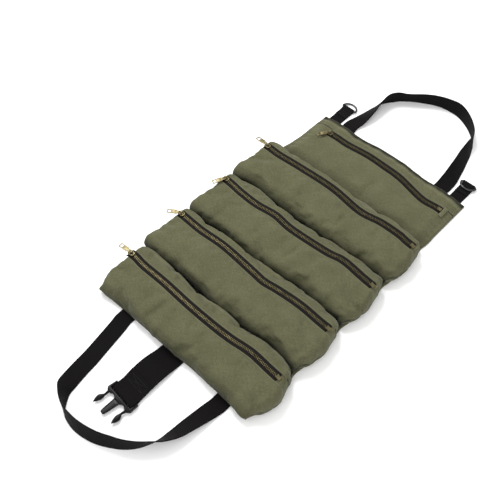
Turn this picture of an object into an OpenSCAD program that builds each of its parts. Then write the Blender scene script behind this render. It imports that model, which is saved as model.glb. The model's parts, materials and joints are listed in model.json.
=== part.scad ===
// Roll-up canvas tool bag with five zipped pouches, laid open on its back.
// X runs along the zips, Y from the buckle end to the ring end, Z is up.
// The origin is on the underside of the back panel, at the panel's middle.

/* [Roll] */
// Width of the open roll, along the zips
roll_w = 345; // [320:5:380]
// Length of a stuffed pouch, from crease to crease
pouch_pitch = 111; // [108:1:118]
// Length of the flat pouch at the ring end
end_pitch = 131; // [126:1:140]
// Thickness of the lined back panel
panel_t = 2.4; // [2:0.1:2.6]

/* [Pouches] */
// Height of a stuffed pouch above the panel
pouch_h = 39; // [38:1:43]
// Height of the flat pouch above the panel
flat_h = 11; // [9:1:13]
// Width of a stuffed pouch, which bulges past the panel's sides
pouch_w = 356; // [345:1:360]
// Distance from the near edge to the first zip
first_zip_at = 71; // [70:1:80]
// Distance from a stuffed pouch's near crease to its zip, on the others
zip_at = 77; // [74:1:80]
// Distance from the flat pouch's near crease to its zip
end_zip_at = 94; // [88:1:98]

/* [Zips] */
// Width of the zip tape that shows
tape_w = 15; // [13:0.5:15.5]
// Width of the row of closed teeth
teeth_w = 6; // [5:0.5:6]
// Length of the zip on a stuffed pouch
zip_len = 348; // [300:2:348]
// Length of the zip on the flat pouch
end_zip_len = 278; // [240:2:290]
// Length of a pull tab
pull_len = 27; // [22:1:30]
// Width of a pull tab
pull_w = 8.6; // [8:0.2:10]

/* [Webbing] */
// Width of the handle webbing
handle_w = 30; // [26:1:32]
// Thickness of one layer of webbing
web_t = 1.8; // [1.4:0.1:2]
// Width of the buckle webbing
strap_w = 48; // [48:1:50]
// Distance between the two legs of a handle
handle_span = 222; // [214:1:224]
// Sideways offset of the handle at the buckle end
near_shift = 7; // [0:1:8]
// Sideways offset of the buckle webbing
strap_shift = 3; // [0:1:8]
// Sideways offset of the handle and rings at the ring end
far_shift = 2; // [0:1:4]

/* [Rings] */
// Width of a ring tab
tab_w = 26; // [22:1:26]
// Length of a ring tab
tab_len = 50; // [40:1:52]
// Radius of the ring's rod
rod_r = 1.8; // [1.5:0.1:2]
// Distance from the middle of the roll to a ring
ring_at = 145; // [144:1:150]

/* [Buckle] */
// Distance from the panel's edge to the bar of the male half
strap_reach = 98; // [90:1:110]
// Half the width of the buckle halves
buckle_half = 29; // [29:0.5:32]
// Distance from the fourth crease line to the bar of the female half
female_at = 48; // [47:1:50]

/* [Hidden] */
$fn = 48;

canvas = [0.45, 0.45, 0.33];
canvas_back = [0.41, 0.41, 0.30];
tape_black = [0.10, 0.10, 0.10];
brass = [0.62, 0.50, 0.28];
webbing = [0.09, 0.09, 0.09];
plastic = [0.06, 0.06, 0.07];
steel = [0.35, 0.35, 0.36];

// Lines across the roll
roll_len = 4 * pouch_pitch + end_pitch;
near_edge = -roll_len / 2;
far_edge = roll_len / 2;
function crease_y(n) = near_edge + n * pouch_pitch;
function bay_len(n) = n == 5 ? end_pitch : pouch_pitch;
function bay_start(n) = crease_y(n - 1);

// Gaps that keep the moving pieces clear of each other
crease_gap = 0.4;
rim = 1.5;
play = 0.06;

// Zips
tape_t = 0.8;
teeth_h = 1.5;
stop_len = 9;
slider_half = 6;
function zip_from(n) = n == 1 ? first_zip_at : n == 5 ? end_zip_at : zip_at;
function zip_y(n) = bay_start(n) + zip_from(n);
function tape_z(n) = panel_t + (n == 5 ? flat_h : pouch_h);
function zip_top(n) = tape_z(n) + tape_t;
function zip_length(n) = n == 5 ? end_zip_len : zip_len;
zip_shift = -2;
end_zip_shift = 11;
end_zip_tilt = -1.5;
function zip_tilt(n) = n == 5 ? end_zip_tilt : 0;
function zip_mid(n) = n == 5 ? end_zip_shift : zip_shift;
function zip_left(n) = zip_mid(n) - zip_length(n) / 2;
function zip_right(n) = zip_mid(n) + zip_length(n) / 2;
slider_in = 8;
function slider_x(n) = zip_left(n) + slider_in;

// Pouches
pouch_shift = -1.5;
end_round = 3;

// Each pull tab lies at its own angle: turn about Z, and droop
pull_turn = [4, 32, 68, 0, 58];
pull_droop = [5, 4, 2, 3, 0];
bail_z = 5.2;
bar_r = 1;

// Webbing
strap_t = 3;
strap_bar_r = 2.5;
strap_bar_z = 4.6;
hinge_gap = 0.4;
ring_bar_z = 3.8;
ring_r = tab_w / 2 + 1 + rod_r;
ring_y = far_edge + tab_len;
ring_left_tilt = -7;
ring_right_tilt = 170;
male_y = near_edge - strap_reach;

// Female half of the buckle, in its dent under the fourth pouch
female_y = bay_start(4) + female_at;
female_z = 6.6;
female_bar_r = 2.3;
dent_half = buckle_half + 2;
dent_roof = 13.6;
dent_wall = 1.2;
tail_start = bay_start(4) + 14;
tail_t = 2;
tail_z = 0.3;

// ---- Panels and pouches ----

// A block from corner a to corner b
module block(a, b) {
    translate(a)
        cube(b - a);
}

// A shape drawn in the Y-Z plane, drawn out along X about the middle
module along_x(width) {
    translate([-width / 2, 0, 0])
        rotate([90, 0, 90])
            linear_extrude(width)
                children();
}

// The space that the female half and its webbing take up, grown by g
module dent(g) {
    tail_half = strap_w / 2 + 1 + g;
    block([-dent_half - g, female_y - 8 - g, -1], [dent_half + g, female_y + 51 + g, dent_roof + g]);
    block([-tail_half, tail_start - 1 - g, -1], [tail_half, female_y - 7, tail_t + tail_z + g]);
}

module back_panel(n) {
    y0 = bay_start(n) + (n == 1 ? 0 : crease_gap / 2);
    y1 = bay_start(n) + bay_len(n) - (n == 5 ? 0 : crease_gap / 2);
    color(canvas_back)
        difference() {
            union() {
                block([-roll_w / 2, y0, 0], [roll_w / 2, y1, panel_t]);
                if (n == 4)
                    intersection() {
                        dent(dent_wall);
                        block([-roll_w, y0, 0], [roll_w, y1, 2 * dent_roof]);
                    }
            }
            if (n == 4)
                dent(0);
        }
}

// Cross-section of a stuffed pouch of height h, with its zip at distance at from the near crease
function stuffed_section(h, at) = [
    [rim, 0], [0.17 * pouch_pitch, 0.48 * h], [0.34 * pouch_pitch, 0.83 * h],
    [0.52 * pouch_pitch, 0.97 * h], [at - 8, h], [at + 8, h],
    [0.9 * pouch_pitch, 0.64 * h], [pouch_pitch - rim, 0]
];

// Cross-section of the flat pouch
function flat_section(h) = [
    [rim, 0], [10, 0.85 * h], [30, h], [end_zip_at - 8, h], [end_zip_at + 8, h],
    [end_pitch - 12, 0.5 * h], [end_pitch - rim, 0]
];

function bay_section(n, f) = n == 5 ? flat_section(flat_h * f) : stuffed_section(pouch_h * f, zip_from(n));

module pouch(n) {
    end_drop = 0.82;
    width = n == 5 ? roll_w - 2 : pouch_w;
    shift = n == 5 ? 0 : pouch_shift;
    color(canvas)
        difference() {
            translate([shift, bay_start(n), panel_t])
                hull() {
                    along_x(width - 2 * end_round)
                        polygon(bay_section(n, 1));
                    along_x(width)
                        polygon(bay_section(n, end_drop));
                }
            if (n == 4)
                dent(dent_wall);
        }
}

// ---- Zips ----

// Turns and moves a zip's pieces to its place. They are drawn from the slider's middle on the tape.
module on_zip(n) {
    translate([slider_x(n), zip_y(n), zip_top(n)])
        rotate(zip_tilt(n))
            children();
}

module zip_tape(n) {
    color(tape_black)
        on_zip(n)
            block([-slider_in, -tape_w / 2, -tape_t], [zip_length(n) - slider_in, tape_w / 2, 0]);
}

// Distance from the slider to the near end of the stop
function stop_at(n) = zip_length(n) - slider_in - stop_len - 1;

module zip_teeth(n) {
    color(brass)
        on_zip(n)
            block([1 - slider_in, -teeth_w / 2, 0], [stop_at(n), teeth_w / 2, teeth_h]);
}

// The square stop that joins the two rows of teeth
module zip_stop(n) {
    half = teeth_w / 2 + 1;
    stop_h = 2.8;
    color(brass)
        on_zip(n)
            block([stop_at(n), -half, 0], [stop_at(n) + stop_len, half, stop_h]);
}

// Slider: a cap with two side walls that straddle the teeth, and a bail with a bore
module slider(n) {
    wall = 1.2;
    inner = teeth_w / 2 + 0.4;
    cap_z = teeth_h + 0.5;
    color(brass)
        on_zip(n) {
            block([-slider_half, -inner - wall, cap_z], [slider_half, inner + wall, cap_z + wall]);
            block([-slider_half, inner, 0.3], [slider_half, inner + wall, cap_z]);
            block([-slider_half, -inner - wall, 0.3], [slider_half, -inner, cap_z]);
            rotate(pull_turn[n - 1])
                difference() {
                    union() {
                        block([-2.2, -1.1, cap_z + wall], [2.2, 1.1, bail_z]);
                        translate([0, 1.1, bail_z])
                            rotate([90, 0, 0])
                                cylinder(r = 2.2, h = 2.2);
                    }
                    translate([0, 2, bail_z])
                        rotate([90, 0, 0])
                            cylinder(r = bar_r + play, h = 4);
                }
        }
}

// Pull tab: a bar through the bail, two legs and a plate with a square eye
module pull(n) {
    leg_in = 1.4;
    leg_out = 2.9;
    plate_t = 1.6;
    eye = 4.4;
    color(brass)
        on_zip(n)
            translate([0, 0, bail_z])
                rotate([0, -pull_droop[n - 1], pull_turn[n - 1]]) {
                    rotate([90, 0, 0])
                        cylinder(r = bar_r, h = 2 * leg_out, center = true);
                    for (side = [-1, 1]) {
                        mid = side * (leg_in + leg_out) / 2;
                        translate([0, mid, 0])
                            rotate([90, 0, 0])
                                cylinder(r = 1.4, h = leg_out - leg_in, center = true);
                        translate([-3.5, mid, 0])
                            cube([7, leg_out - leg_in, plate_t], center = true);
                    }
                    difference() {
                        block([-pull_len, -pull_w / 2, -plate_t / 2], [-5, pull_w / 2, plate_t / 2]);
                        translate([-pull_len + 2.4, -eye / 2, -plate_t])
                            cube([eye, eye, 2 * plate_t]);
                    }
                }
}

// ---- Handles ----

// Places along a handle, from one root to the other: [x, y, twist]. y is counted outward from the
// panel's edge. The webbing lies flat at twist 0 and stands on one edge at twist 90 or -90.
near_route = [
    [-111, 1.3, 0], [-111, 7, 0], [-110, 14, 2], [-106, 31, 3], [-98, 75, 3], [-94, 96, 6],
    [-91, 118, 9], [-87, 140, 14], [-82, 152, 34], [-75, 162, 60], [-66, 171, 74], [-57, 178, 86],
    [-48, 183, 95], [-38, 185, 102], [-19, 186, 108], [1, 183, 110], [21, 177, 109], [41, 167, 105],
    [59, 156, 97], [75, 141, 86], [87, 124, 71], [94, 111, 56], [98, 98, 42], [101, 84, 31],
    [103, 69, 23], [106, 48, 14], [109, 26, 4], [111, 12, 0], [111, 1.3, 0]
];
far_route = [
    [-111, 1.3, 0], [-111, 7, 0], [-112, 16, -4], [-111, 26, -6], [-108, 38, -13], [-105, 60, -32],
    [-104, 83, -50], [-103, 99, -64], [-101, 111, -73], [-97, 121, -80], [-91, 130, -83], [-84, 138, -79],
    [-76, 144, -74], [-66, 152, -73], [-56, 160, -76], [-43, 169, -81], [-28, 178, -84], [-10, 185, -88],
    [6, 188, -94], [18, 189, -99], [30, 187, -99], [46, 180, -96], [62, 170, -92], [76, 158, -89],
    [86, 146, -86], [92, 134, -78], [95, 121, -67], [98, 107, -57], [101, 91, -49], [105, 74, -42],
    [108, 57, -34], [111, 38, -22], [112, 20, -10], [111, 8, 0], [111, 1.3, 0]
];

// Direction of a route at place i, in plan
function heading(route, i) =
    let (a = route[max(i - 1, 0)], b = route[min(i + 1, len(route) - 1)],
         d = [b[0] - a[0], b[1] - a[1]])
    d / norm(d);

// The four corners of the webbing at place i. Its lower edge stays on the ground.
function web_ring(route, i) =
    let (p = route[i], d = heading(route, i), c = cos(p[2]), s = sin(p[2]),
         across = [-d[1] * c, d[0] * c, s], through = [d[1] * s, -d[0] * s, c],
         mid = [p[0], p[1], web_t / 2 * abs(c) + handle_w / 2 * abs(s)])
    [for (k = [[-1, -1], [1, -1], [1, 1], [-1, 1]])
        mid + across * (k[0] * handle_w / 2) + through * (k[1] * web_t / 2)];

// Webbing swept along a route, as one closed solid
module swept_webbing(route) {
    count = len(route);
    points = [for (i = [0 : count - 1]) for (p = web_ring(route, i)) p];
    sides = [for (i = [0 : count - 2]) for (k = [0 : 3])
        let (a = 4 * i + k, b = 4 * i + (k + 1) % 4)
        each [[a, a + 4, b], [b, a + 4, b + 4]]];
    last = 4 * (count - 1);
    caps = [[0, 1, 2], [0, 2, 3], [last + 2, last + 1, last], [last + 3, last + 2, last]];
    polyhedron(points, concat(sides, caps), convexity = 6);
}

// A handle with round roots, drawn outward from the edge at y = 0
module handle(route) {
    color(webbing) {
        swept_webbing(route);
        for (side = [-1, 1])
            translate([side * handle_span / 2, web_t / 2 + hinge_gap, web_t / 2])
                rotate([0, 90, 0])
                    cylinder(r = web_t / 2, h = handle_w, center = true);
    }
}

module near_handle() {
    translate([near_shift, near_edge, 0])
        mirror([0, 1, 0])
            handle(near_route);
}

module far_handle() {
    translate([far_shift, far_edge, 0])
        handle(far_route);
}

// ---- Rings at the far corners ----

// Webbing tab folded round the ring's straight bar
module ring_tab(x) {
    loop_r = rod_r + play + 1.5;
    root = hinge_gap + strap_t / 2;
    color(webbing)
        translate([x, far_edge, 0])
            difference() {
                union() {
                    along_x(tab_w)
                        polygon([[root, 0], [tab_len, 0.5], [tab_len, ring_bar_z + loop_r],
                                 [tab_len - 6, strap_t], [root, strap_t]]);
                    translate([0, root, strap_t / 2])
                        rotate([0, 90, 0])
                            cylinder(r = strap_t / 2, h = tab_w, center = true);
                    translate([0, tab_len, ring_bar_z])
                        rotate([0, 90, 0])
                            cylinder(r = loop_r, h = tab_w, center = true);
                }
                translate([0, tab_len, ring_bar_z])
                    rotate([0, 90, 0])
                        cylinder(r = rod_r + play, h = tab_w + 2, center = true);
            }
}

// D-shaped ring: a straight bar and a half circle of round rod
module d_ring(x, tilt) {
    color(steel)
        translate([x, ring_y, ring_bar_z])
            rotate([tilt, 0, 0]) {
                rotate([0, 90, 0])
                    cylinder(r = rod_r, h = 2 * ring_r, center = true);
                rotate_extrude(angle = 180)
                    translate([ring_r, 0])
                        circle(r = rod_r);
                for (side = [-1, 1])
                    translate([side * ring_r, 0, 0])
                        sphere(r = rod_r);
            }
}

module tab_left() { ring_tab(far_shift - ring_at); }
module tab_right() { ring_tab(far_shift + ring_at); }
module ring_left() { d_ring(far_shift - ring_at, ring_left_tilt); }
module ring_right() { d_ring(far_shift + ring_at, ring_right_tilt); }

// ---- Buckle strap and the male half ----

module buckle_strap() {
    root = near_edge - hinge_gap - strap_t / 2;
    loop_r = strap_bar_r + play + 1.6;
    color(webbing)
        translate([strap_shift, 0, 0])
            difference() {
                union() {
                    along_x(strap_w)
                        polygon([[root, 0], [root - 30, 4], [root - 60, 5],
                                 [male_y, strap_bar_z - loop_r], [male_y, strap_bar_z + loop_r],
                                 [root - 60, 8.4], [root - 30, 7], [root, strap_t]]);
                    translate([0, root, strap_t / 2])
                        rotate([0, 90, 0])
                            cylinder(r = strap_t / 2, h = strap_w, center = true);
                    translate([0, male_y, strap_bar_z])
                        rotate([0, 90, 0])
                            cylinder(r = loop_r, h = strap_w, center = true);
                }
                translate([0, male_y, strap_bar_z])
                    rotate([0, 90, 0])
                        cylinder(r = strap_bar_r + play, h = strap_w + 2, center = true);
            }
}

// Male half: bar, cheeks, body and the middle tongue
module buckle_male() {
    inner = strap_w / 2 + 0.5;
    color(plastic)
        translate([strap_shift, male_y, strap_bar_z]) {
            rotate([0, 90, 0])
                cylinder(r = strap_bar_r, h = 2 * inner + 2, center = true);
            for (side = [-1, 1])
                translate([side * (inner + buckle_half) / 2, -2.5, 0])
                    cube([buckle_half - inner, 13, 8], center = true);
            block([-buckle_half, -17, -4.4], [buckle_half, -8, 4.4]);
            along_x(10)
                polygon([[-17, -2.2], [-17, 2.2], [-42, 1.6], [-44, 0], [-42, -1.6]]);
        }
}

// One springy side arm of the male half, with its barb
module prong(side) {
    barb = 7;
    prong_t = 7;
    color(plastic)
        translate([strap_shift + side * (buckle_half - barb), male_y - 19.8, strap_bar_z])
            scale([side, 1, 1]) {
                cylinder(r = 2.4, h = prong_t, center = true);
                linear_extrude(prong_t, center = true)
                    polygon([[-2.4, 0], [-1.6, -20], [0, -25], [2.5, -25], [barb, -16], [barb, -13],
                             [2.8, -12], [2.4, 0]]);
            }
}

module prong_left() { prong(-1); }
module prong_right() { prong(1); }

// ---- Female half on the back ----

// Webbing sewn under the fourth pouch, folded round the female half's bar
module female_strap() {
    loop_r = female_bar_r + play + 1.5;
    color(webbing)
        difference() {
            union() {
                along_x(strap_w)
                    polygon([[tail_start, tail_z], [female_y - 6, tail_z],
                             [female_y, female_z - loop_r], [female_y, female_z + loop_r],
                             [female_y - 8, tail_z + tail_t], [tail_start, tail_z + tail_t]]);
                translate([0, female_y, female_z])
                    rotate([0, 90, 0])
                        cylinder(r = loop_r, h = strap_w, center = true);
            }
            translate([0, female_y, female_z])
                rotate([0, 90, 0])
                    cylinder(r = female_bar_r + play, h = strap_w + 2, center = true);
        }
}

// Female half: bar, cheeks and a flat socket with windows for the barbs
module buckle_female() {
    inner = strap_w / 2 + 0.5;
    color(plastic)
        translate([0, female_y, female_z]) {
            rotate([0, 90, 0])
                cylinder(r = female_bar_r, h = 2 * inner + 2, center = true);
            for (side = [-1, 1])
                translate([side * (inner + buckle_half) / 2, 2.5, 0])
                    cube([buckle_half - inner, 13, 9], center = true);
            difference() {
                block([-buckle_half, 8, -6], [buckle_half, 48, 6]);
                block([-buckle_half + 3.5, 12, -4.2], [buckle_half - 3.5, 49, 4.2]);
                block([-buckle_half - 1, 18, -3.9], [buckle_half + 1, 34, 3.9]);
            }
        }
}

back_panel(1);  // back_panel_1
back_panel(2);  // back_panel_2
back_panel(3);  // back_panel_3
back_panel(4);  // back_panel_4
back_panel(5);  // back_panel_5
pouch(1);  // pouch_1
pouch(2);  // pouch_2
pouch(3);  // pouch_3
pouch(4);  // pouch_4
pouch(5);  // pouch_5
zip_tape(1);  // zip_tape_1
zip_tape(2);  // zip_tape_2
zip_tape(3);  // zip_tape_3
zip_tape(4);  // zip_tape_4
zip_tape(5);  // zip_tape_5
zip_teeth(1);  // zip_teeth_1
zip_teeth(2);  // zip_teeth_2
zip_teeth(3);  // zip_teeth_3
zip_teeth(4);  // zip_teeth_4
zip_teeth(5);  // zip_teeth_5
zip_stop(1);  // zip_stop_1
zip_stop(2);  // zip_stop_2
zip_stop(3);  // zip_stop_3
zip_stop(4);  // zip_stop_4
zip_stop(5);  // zip_stop_5
slider(1);  // slider_1
slider(2);  // slider_2
slider(3);  // slider_3
slider(4);  // slider_4
slider(5);  // slider_5
pull(1);  // pull_1
pull(2);  // pull_2
pull(3);  // pull_3
pull(4);  // pull_4
pull(5);  // pull_5
near_handle();
far_handle();
tab_left();
tab_right();
ring_left();
ring_right();
buckle_strap();
buckle_male();
prong_left();
prong_right();
female_strap();
buckle_female();
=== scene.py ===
import itertools
import json
import math

import bmesh
import bpy
import numpy as np
from mathutils import Matrix, Vector, noise
from mathutils.kdtree import KDTree

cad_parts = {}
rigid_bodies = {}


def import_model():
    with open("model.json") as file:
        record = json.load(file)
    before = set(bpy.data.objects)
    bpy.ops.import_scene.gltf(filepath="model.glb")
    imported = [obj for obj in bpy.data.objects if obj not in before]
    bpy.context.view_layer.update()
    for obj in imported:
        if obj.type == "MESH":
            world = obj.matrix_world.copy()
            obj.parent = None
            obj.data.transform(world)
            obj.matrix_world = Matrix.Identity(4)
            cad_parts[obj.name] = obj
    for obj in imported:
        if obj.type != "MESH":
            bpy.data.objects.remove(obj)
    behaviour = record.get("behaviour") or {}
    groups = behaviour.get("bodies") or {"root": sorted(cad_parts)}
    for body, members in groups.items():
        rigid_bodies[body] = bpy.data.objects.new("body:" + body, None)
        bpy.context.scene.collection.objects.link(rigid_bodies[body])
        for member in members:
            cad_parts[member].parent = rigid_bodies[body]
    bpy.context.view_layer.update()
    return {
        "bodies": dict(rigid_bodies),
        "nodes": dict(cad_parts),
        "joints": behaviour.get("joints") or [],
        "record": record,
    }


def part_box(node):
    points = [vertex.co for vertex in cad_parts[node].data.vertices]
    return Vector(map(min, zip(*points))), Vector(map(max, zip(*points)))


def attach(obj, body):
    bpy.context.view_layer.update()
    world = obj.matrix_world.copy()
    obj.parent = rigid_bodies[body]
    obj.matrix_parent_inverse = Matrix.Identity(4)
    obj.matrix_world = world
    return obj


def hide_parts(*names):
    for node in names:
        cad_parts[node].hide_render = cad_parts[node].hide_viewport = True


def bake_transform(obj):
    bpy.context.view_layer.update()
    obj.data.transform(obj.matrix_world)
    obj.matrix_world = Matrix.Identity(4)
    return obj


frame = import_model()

MM = 0.001
TURN = 2 * math.pi

# ---- Places, all from the frame ----

JOINTS = {joint["name"]: joint for joint in frame["joints"]}
BAYS = (1, 2, 3, 4, 5)
FLAT_BAY = 5
ROLL_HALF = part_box("back_panel_3")[1].x
PANEL_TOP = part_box("back_panel_3")[1].z
NEAR_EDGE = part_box("back_panel_1")[0].y
FAR_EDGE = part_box("back_panel_5")[1].y
CREASES = [JOINTS[name]["pos_m"][1] for name in ("crease_12", "crease_23", "crease_34", "crease_45")]
BAY_LINES = [NEAR_EDGE, *CREASES, FAR_EDGE]


def bay_start(n):
    """Y of the near crease of a bay."""
    return BAY_LINES[n - 1]


def bay_length(n):
    return BAY_LINES[n] - BAY_LINES[n - 1]


def zip_span(n):
    """Left end, right end and top of a zip's tape."""
    low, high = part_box(f"zip_tape_{n}")
    return low.x, high.x, high.z


def zip_middle(n, x):
    """Y of a zip's middle line at x. It runs through the slider, along its slide joint."""
    slider = JOINTS[f"pull_{n}_flip"]["pos_m"]
    axis = JOINTS[f"slider_{n}_run"]["axis"]
    return slider[1] + (x - slider[0]) * axis[1] / axis[0]


# ---- Camera ----

CAMERA_TARGET = Vector((-0.0489, -0.0512, 0))
CAMERA_DISTANCE = 1.3742
CAMERA_AZIMUTH = math.radians(43.51)
CAMERA_ELEVATION = math.radians(54.64)
CAMERA_LENS = 56.08
SENSOR = 36


def place_camera():
    flat = math.cos(CAMERA_ELEVATION)
    back = Vector((math.sin(CAMERA_AZIMUTH) * flat, -math.cos(CAMERA_AZIMUTH) * flat, math.sin(CAMERA_ELEVATION)))
    data = bpy.data.cameras.new("camera")
    data.lens = CAMERA_LENS
    data.sensor_width = SENSOR
    camera = bpy.data.objects.new("camera", data)
    camera.location = CAMERA_TARGET + back * CAMERA_DISTANCE
    camera.rotation_euler = back.to_track_quat("Z", "Y").to_euler()
    bpy.context.scene.collection.objects.link(camera)
    bpy.context.scene.camera = camera


place_camera()

# ---- Numbers and curves ----


def ease(low, high, value):
    """0 below low, 1 above high, and smooth between them."""
    t = np.clip((np.asarray(value, float) - low) / (high - low), 0, 1)
    return t * t * (3 - 2 * t)


def lumps(x, y, size, seed):
    """Smooth noise from about -1 to 1. Its lumps are about size across."""
    x, y = np.broadcast_arrays(x, y)
    values = [noise.noise((a / size, b / size, seed * 7.31)) for a, b in zip(x.ravel(), y.ravel())]
    return np.array(values).reshape(x.shape) * 1.6


def spline(points, per_span=12):
    """A smooth curve through the points, with per_span steps between each two."""
    p = np.asarray(points, float)
    p = np.vstack([2 * p[0] - p[1], p, 2 * p[-1] - p[-2]])
    t = np.linspace(0, 1, per_span, endpoint=False)[:, None]
    spans = []
    for a, b, c, d in zip(p[:-3], p[1:-2], p[2:-1], p[3:]):
        bend = (2 * a - 5 * b + 4 * c - d) * t**2
        spans.append(0.5 * (2 * b + (c - a) * t + bend + (3 * b - a - 3 * c + d) * t**3))
    return np.vstack([*spans, p[-2]])


def lengths_along(points):
    """Distance along a line at each of its points."""
    steps = np.linalg.norm(np.diff(points, axis=0), axis=1)
    return np.concatenate([[0], np.cumsum(steps)])


def evenly(points, count):
    """The same line with count points at equal steps."""
    points = np.asarray(points, float)
    along = lengths_along(points[:, :3])
    wanted = np.linspace(0, along[-1], count)
    return np.stack([np.interp(wanted, along, points[:, k]) for k in range(points.shape[1])], axis=1)


def wave(values, x):
    """A smooth wave that takes these values at equal steps across the roll."""
    knots = np.stack([np.linspace(-ROLL_HALF, ROLL_HALF, len(values)), np.array(values, float)], axis=1)
    curve = spline(knots)
    return np.interp(x, curve[:, 0], curve[:, 1])


def knotted(pairs, x):
    """A smooth wave through (place, value) pairs, in mm."""
    curve = spline(np.array(pairs, float))
    return np.interp(x, curve[:, 0] * MM, curve[:, 1]) * MM


# ---- Meshes ----

# Steps round a plate's edge, the angle at which its faces meet sharply, and steps round a corner
PLATE_ROUNDS = 2
PLATE_SHARP = math.radians(35)
CORNER_STEPS = 5


def link(name, mesh, material):
    mesh.materials.append(material)
    piece = bpy.data.objects.new(name, mesh)
    bpy.context.scene.collection.objects.link(piece)
    return piece


def skin(name, rings, material, loop=False, sharp=None):
    """A closed skin over rings of points, one ring after another. Its UVs are in metres."""
    rings = np.asarray(rings, float)
    count, sides = rings.shape[:2]
    spans = count if loop else count - 1
    i, j = np.meshgrid(np.arange(spans), np.arange(sides), indexing="ij")
    following = (i + 1) % count
    beside = (j + 1) % sides
    this, after = i * sides, following * sides
    quads = np.stack([this + j, after + j, after + beside, this + beside], axis=-1)
    middle = rings[count // 2]
    across = lengths_along(np.vstack([middle, middle[:1]]))
    path = rings.mean(axis=1)
    along = lengths_along(np.vstack([path, path[:1]]) if loop else path)
    if not loop:
        along = np.append(along, along[-1])
    uv = np.stack([
        np.stack([across[j], along[i]], -1),
        np.stack([across[j], along[i + 1]], -1),
        np.stack([across[j + 1], along[i + 1]], -1),
        np.stack([across[j + 1], along[i]], -1),
    ], axis=2)
    faces = quads.reshape(-1, 4).tolist()
    uvs = uv.reshape(-1, 2)
    if not loop:
        faces.append(list(range(sides)))
        faces.append([(count - 1) * sides + k for k in reversed(range(sides))])
        uvs = np.vstack([uvs, rings[0][:, :2], rings[-1][::-1, :2]])
    mesh = bpy.data.meshes.new(name)
    mesh.from_pydata(rings.reshape(-1, 3).tolist(), [], faces)
    mesh.uv_layers.new(name="weave").data.foreach_set("uv", uvs.astype(np.float32).ravel())
    mesh.polygons.foreach_set("use_smooth", [True] * len(faces))
    if sharp:
        mesh.set_sharp_from_angle(angle=math.radians(sharp))
    mesh.update()
    face_outward(mesh)
    return link(name, mesh, material)


def face_outward(mesh):
    """Turns a closed mesh's faces to look outward."""
    mesh.calc_loop_triangles()
    co = np.empty(len(mesh.vertices) * 3)
    mesh.vertices.foreach_get("co", co)
    tri = np.empty(len(mesh.loop_triangles) * 3, np.int32)
    mesh.loop_triangles.foreach_get("vertices", tri)
    a, b, c = np.moveaxis(co.reshape(-1, 3)[tri.reshape(-1, 3)], 1, 0)
    if np.einsum("ij,ij->", a, np.cross(b, c)) < 0:
        mesh.flip_normals()


def unit(vectors):
    """The same directions, each one long."""
    return vectors / np.linalg.norm(vectors, axis=-1)[..., None]


def frames_along(points, up, loop=False):
    """Direction, side and up at each point of a line."""
    steps = np.roll(points, -1, axis=0) - np.roll(points, 1, axis=0) if loop else np.gradient(points, axis=0)
    ahead = unit(steps)
    side = unit(np.cross(np.broadcast_to(up, ahead.shape), ahead))
    return ahead, side, np.cross(ahead, side)


def tube(name, points, radius, material, sides=12, up=(0, 0, 1), loop=False):
    """A round rod along a line."""
    points = np.asarray(points, float)
    _, side, top = frames_along(points, up, loop)
    angle = np.linspace(0, TURN, sides, endpoint=False)
    radius = np.broadcast_to(radius, len(points))[:, None, None]
    rings = points[:, None] + radius * (np.cos(angle)[None, :, None] * side[:, None]
                                        + np.sin(angle)[None, :, None] * top[:, None])
    return skin(name, rings, material, loop=loop)


def swept(centre, outline, across, through):
    """Rings: a flat outline carried along a line, with its two directions at each point."""
    return centre[:, None] + outline[None, :, :1] * across[:, None] + outline[None, :, 1:] * through[:, None]


def strap_outline(width, thick, across=14):
    """Cross-section of a flat strap with round edges: (across, through) pairs."""
    half, r = width / 2 - thick / 2, thick / 2
    flat = np.linspace(half, -half, across)
    round_end = np.linspace(0, math.pi, 7)[1:-1]
    top = [(u, r) for u in flat]
    left = [(-half - r * math.sin(a), r * math.cos(a)) for a in round_end]
    bottom = [(u, -r) for u in flat[::-1]]
    right = [(half + r * math.sin(a), -r * math.cos(a)) for a in round_end]
    return np.array(top + left + bottom + right)


def joined(name, pieces):
    """One object from several, under a new name."""
    with bpy.context.temp_override(active_object=pieces[0], selected_editable_objects=pieces):
        bpy.ops.object.join()
    pieces[0].name = name
    pieces[0].data.name = name
    return pieces[0]


def plate(name, outline, thick, bevel, material, holes=()):
    """A flat plate cut to an outline in X-Y, with holes and round edges."""
    curve = bpy.data.curves.new(name, "CURVE")
    curve.dimensions = "2D"
    curve.fill_mode = "BOTH"
    curve.extrude = thick / 2 - bevel
    curve.bevel_depth = bevel
    curve.bevel_resolution = PLATE_ROUNDS
    curve.offset = -bevel
    for points in (outline, *holes):
        line = curve.splines.new("POLY")
        line.points.add(len(points) - 1)
        for point, (x, y) in zip(line.points, points):
            point.co = (x, y, 0, 1)
        line.use_cyclic_u = True
    piece = bpy.data.objects.new(name, curve)
    bpy.context.scene.collection.objects.link(piece)
    bpy.context.view_layer.update()
    mesh = bpy.data.meshes.new_from_object(piece.evaluated_get(bpy.context.evaluated_depsgraph_get()))
    bpy.data.objects.remove(piece)
    mesh.name = name
    mesh.materials.clear()
    mesh.polygons.foreach_set("use_smooth", [True] * len(mesh.polygons))
    weld(mesh)
    mesh.set_sharp_from_angle(angle=PLATE_SHARP)
    return link(name, mesh, material)


def weld(mesh):
    """Joins the loose rims that a filled curve leaves."""
    work = bmesh.new()
    work.from_mesh(mesh)
    bmesh.ops.remove_doubles(work, verts=work.verts, dist=1e-6)
    bmesh.ops.recalc_face_normals(work, faces=work.faces)
    work.to_mesh(mesh)
    work.free()


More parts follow.
